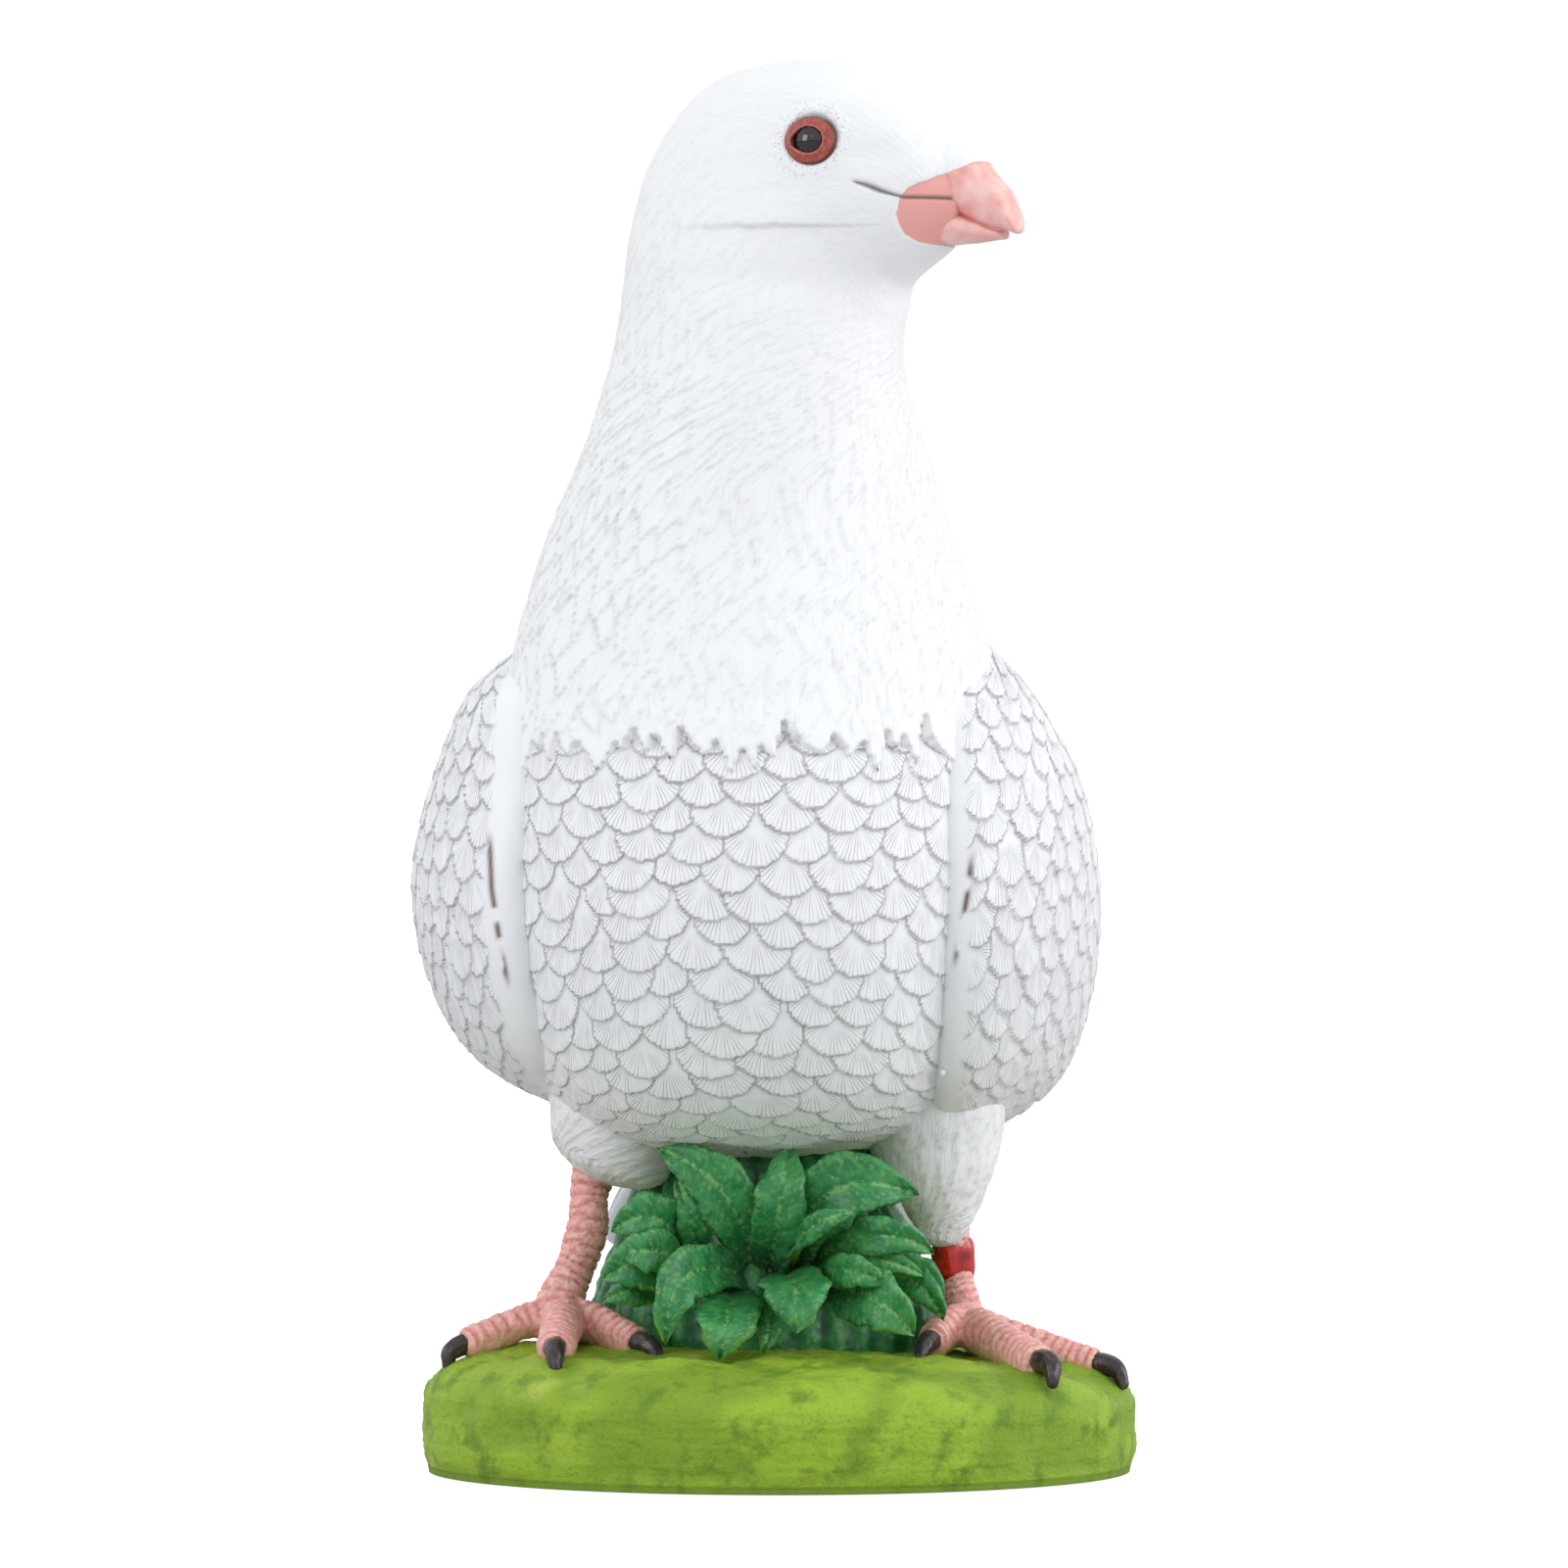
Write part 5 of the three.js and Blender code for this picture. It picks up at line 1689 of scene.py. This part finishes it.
@dataclass(frozen=True)
class Softbox:
    """A square soft light: name, place and target in metres, edge, power in watts and colour."""

    name: str
    place: tuple
    target: tuple
    edge: float
    power: float
    colour: tuple = (1.0, 1.0, 1.0)

    def hang(self) -> None:
        """Makes the light and points it at its target."""
        data = bpy.data.lights.new(self.name, "AREA")
        data.shape = "SQUARE"
        data.size = self.edge
        data.energy = self.power
        data.color = self.colour
        light = bpy.data.objects.new(self.name, data)
        light.location = self.place
        light.rotation_mode = "QUATERNION"
        light.rotation_quaternion = (Vector(self.target) - Vector(self.place)).to_track_quat("-Z", "Y")
        bpy.context.scene.collection.objects.link(light)


@dataclass(frozen=True)
class Studio:
    """Camera, floor and light. The camera stands level, straight in front and far away."""

    distance: float = 1.8
    height: float = 0.133
    across: float = 0.0009
    half_frame: float = 0.1521
    floor_radius: float = 60.0
    ambient: float = 0.91
    boxes: tuple = (
        Softbox("top_box", (0.1, -0.1, 1.6), (0.0, 0.0, 0.14), 0.9, 1.4),
        Softbox("right_box", (1.3, -0.8, 0.6), (0.0, 0.0, 0.15), 0.7, 3.7),
        Softbox("right_side_box", (1.4, 0.0, 0.6), (0.0, 0.0, 0.15), 0.7, 4.9),
        Softbox("left_box", (-1.3, -0.8, 0.55), (0.0, 0.0, 0.15), 0.7, 4.7),
        Softbox("spark", (-0.45, -1.3, 0.75), (0.0, 0.0, 0.25), 0.05, 0.25),
    )

    def camera(self) -> None:
        """Makes the camera that frames the statue as a square picture."""
        data = bpy.data.cameras.new("camera")
        data.sensor_width = 36.0
        data.lens = data.sensor_width / 2 * self.distance / self.half_frame
        data.clip_start = 0.05
        data.clip_end = 200.0
        camera = bpy.data.objects.new("camera", data)
        camera.location = (self.across, -self.distance, self.height)
        camera.rotation_euler = (math.pi / 2, 0.0, 0.0)
        bpy.context.scene.collection.objects.link(camera)
        bpy.context.scene.camera = camera

    def floor(self) -> None:
        """Makes the round floor: rings whose radii grow as a square, all at height 0."""
        angle = np.linspace(0.0, FULL_TURN, 64, endpoint=False)[None, :]
        radius = (np.linspace(0.02, 1.0, 24)[:, None] ** 2) * self.floor_radius
        rim = np.stack(np.broadcast_arrays(radius * np.cos(angle), radius * np.sin(angle), 0 * radius - 0.0002), -1)
        index = np.arange(rim.shape[0] * 64).reshape(rim.shape[:2])
        ahead = np.roll(index, -1, axis=1)
        quads = np.stack([index[:-1], index[1:], ahead[1:], ahead[:-1]], axis=-1).reshape(-1, 4)
        middle = np.stack([np.full(64, rim.size // 3), index[0], ahead[0]], axis=-1)
        points = np.vstack([rim.reshape(-1, 3), [[0.0, 0.0, -0.0002]]]) / MM
        floor = Shell(points, quads, middle, {}).build("floor")
        floor.data.materials.append(FloorWhite().material())

    def world(self) -> None:
        """Even white surroundings: full white to the eye and dimmer as a light."""
        world = bpy.data.worlds.new("studio")
        world.use_nodes = True
        tree = world.node_tree
        tree.nodes.clear()
        seen = tree.nodes.new("ShaderNodeBackground")
        seen.inputs["Color"].default_value = (1.0, 1.0, 1.0, 1.0)
        lit = tree.nodes.new("ShaderNodeBackground")
        lit.inputs["Color"].default_value = (0.96, 0.98, 1.0, 1.0)
        lit.inputs["Strength"].default_value = self.ambient
        path = tree.nodes.new("ShaderNodeLightPath")
        mix = tree.nodes.new("ShaderNodeMixShader")
        output = tree.nodes.new("ShaderNodeOutputWorld")
        tree.links.new(path.outputs["Is Camera Ray"], mix.inputs[0])
        tree.links.new(lit.outputs[0], mix.inputs[1])
        tree.links.new(seen.outputs[0], mix.inputs[2])
        tree.links.new(mix.outputs[0], output.inputs["Surface"])
        bpy.context.scene.world = world

    def build(self) -> None:
        """Sets everything up, with screen colours shown as they are."""
        self.camera()
        self.floor()
        self.world()
        for box in self.boxes:
            box.hang()
        bpy.context.scene.view_settings.view_transform = "Standard"


@dataclass
class Workshop:
    """Turns shells into pieces of the statue and reports each one."""

    total: int = 0

    def add(self, name: str, shell: Shell, material: bpy.types.Material, slot: Paint, node: str = STATUE) -> None:
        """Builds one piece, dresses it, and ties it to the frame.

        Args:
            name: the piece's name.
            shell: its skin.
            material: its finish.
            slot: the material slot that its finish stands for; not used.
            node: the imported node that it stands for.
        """
        piece = shell.build(name)
        piece.data.materials.append(material)
        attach(piece, BODY)
        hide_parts(node)
        self.total += shell.count()
        LOG.info("%s: %d triangles", name, shell.count())


@dataclass(frozen=True)
class Statue:
    """The whole statue, sub-assembly by sub-assembly."""

    def plumage(self, shop: Workshop) -> None:
        """Head and neck, breast, back, wings, tail, thighs and the casting beads."""
        fans = FanWhite().material()
        down = DownWhite().material(BillPink().pink)
        shop.add("head_and_neck", HeadAndNeck().shell(), down, Paint.WHITE)
        shop.add("breast", Breast().shell(), fans, Paint.WHITE)
        shop.add("back", Back().shell(), fans, Paint.WHITE)
        for side in Side:
            shop.add(f"{side.name.lower()}_wing", Wing(side).shell(), fans, Paint.WHITE)
        shop.add("tail", Tail().shell(), fans, Paint.WHITE)
        for foot in (RIGHT_FOOT, LEFT_FOOT):
            shop.add(f"{foot.name}_thigh", foot.thigh_shell(), down, Paint.WHITE)
        shop.add("casting_beads", Beads().shell(), fans, Paint.WHITE)

    def face(self, shop: Workshop) -> None:
        """Bill, lids and eye beads."""
        shop.add("bill", Bill().shell(), BillPink().material(), Paint.PINK)
        lid = LidPaint().material()
        gloss = EyeGloss().material()
        for side in Side:
            name = side.name.lower()
            shop.add(f"{name}_lid", Eye(side).lid_shell(), lid, Paint.LID)
            shop.add(f"{name}_eye_bead", Eye(side).bead_shell(), gloss, Paint.EYE, f"{name}_eye")

    def feet(self, shop: Workshop) -> None:
        """Legs with their toes, claws, and the ring."""
        pink = LegPink().material()
        dark = ClawDark().material()
        for foot in (RIGHT_FOOT, LEFT_FOOT):
            shop.add(f"{foot.name}_leg", foot.leg_shell(), pink, Paint.PINK)
            shop.add(f"{foot.name}_claws", foot.claw_shell(), dark, Paint.CLAW)
        shop.add("leg_ring", LegRing().shell(), RedEnamel().material(), Paint.RED)

    def ground(self, shop: Workshop) -> None:
        """Mound, stems and leaves."""
        green = LeafGreen().material()
        shop.add("mound", Mound().shell(), MossGreen().material(), Paint.MOSS)
        shop.add("stems", Clump().shell(), green, Paint.LEAF)
        for number, row in enumerate(LEAVES, 1):
            shop.add(f"leaf_{number:02d}", Leaf(*row, seed=number).shell(), green, Paint.LEAF)

    def build(self) -> None:
        """Builds every sub-assembly in order."""
        shop = Workshop()
        self.plumage(shop)
        self.face(shop)
        self.feet(shop)
        self.ground(shop)
        LOG.info("all pieces: %d triangles", shop.total)


def main() -> None:
    """Builds the studio and the statue."""
    logging.basicConfig(level=logging.INFO, format="%(message)s")
    Studio().build()
    Statue().build()


if __name__ == "__main__":
    main()
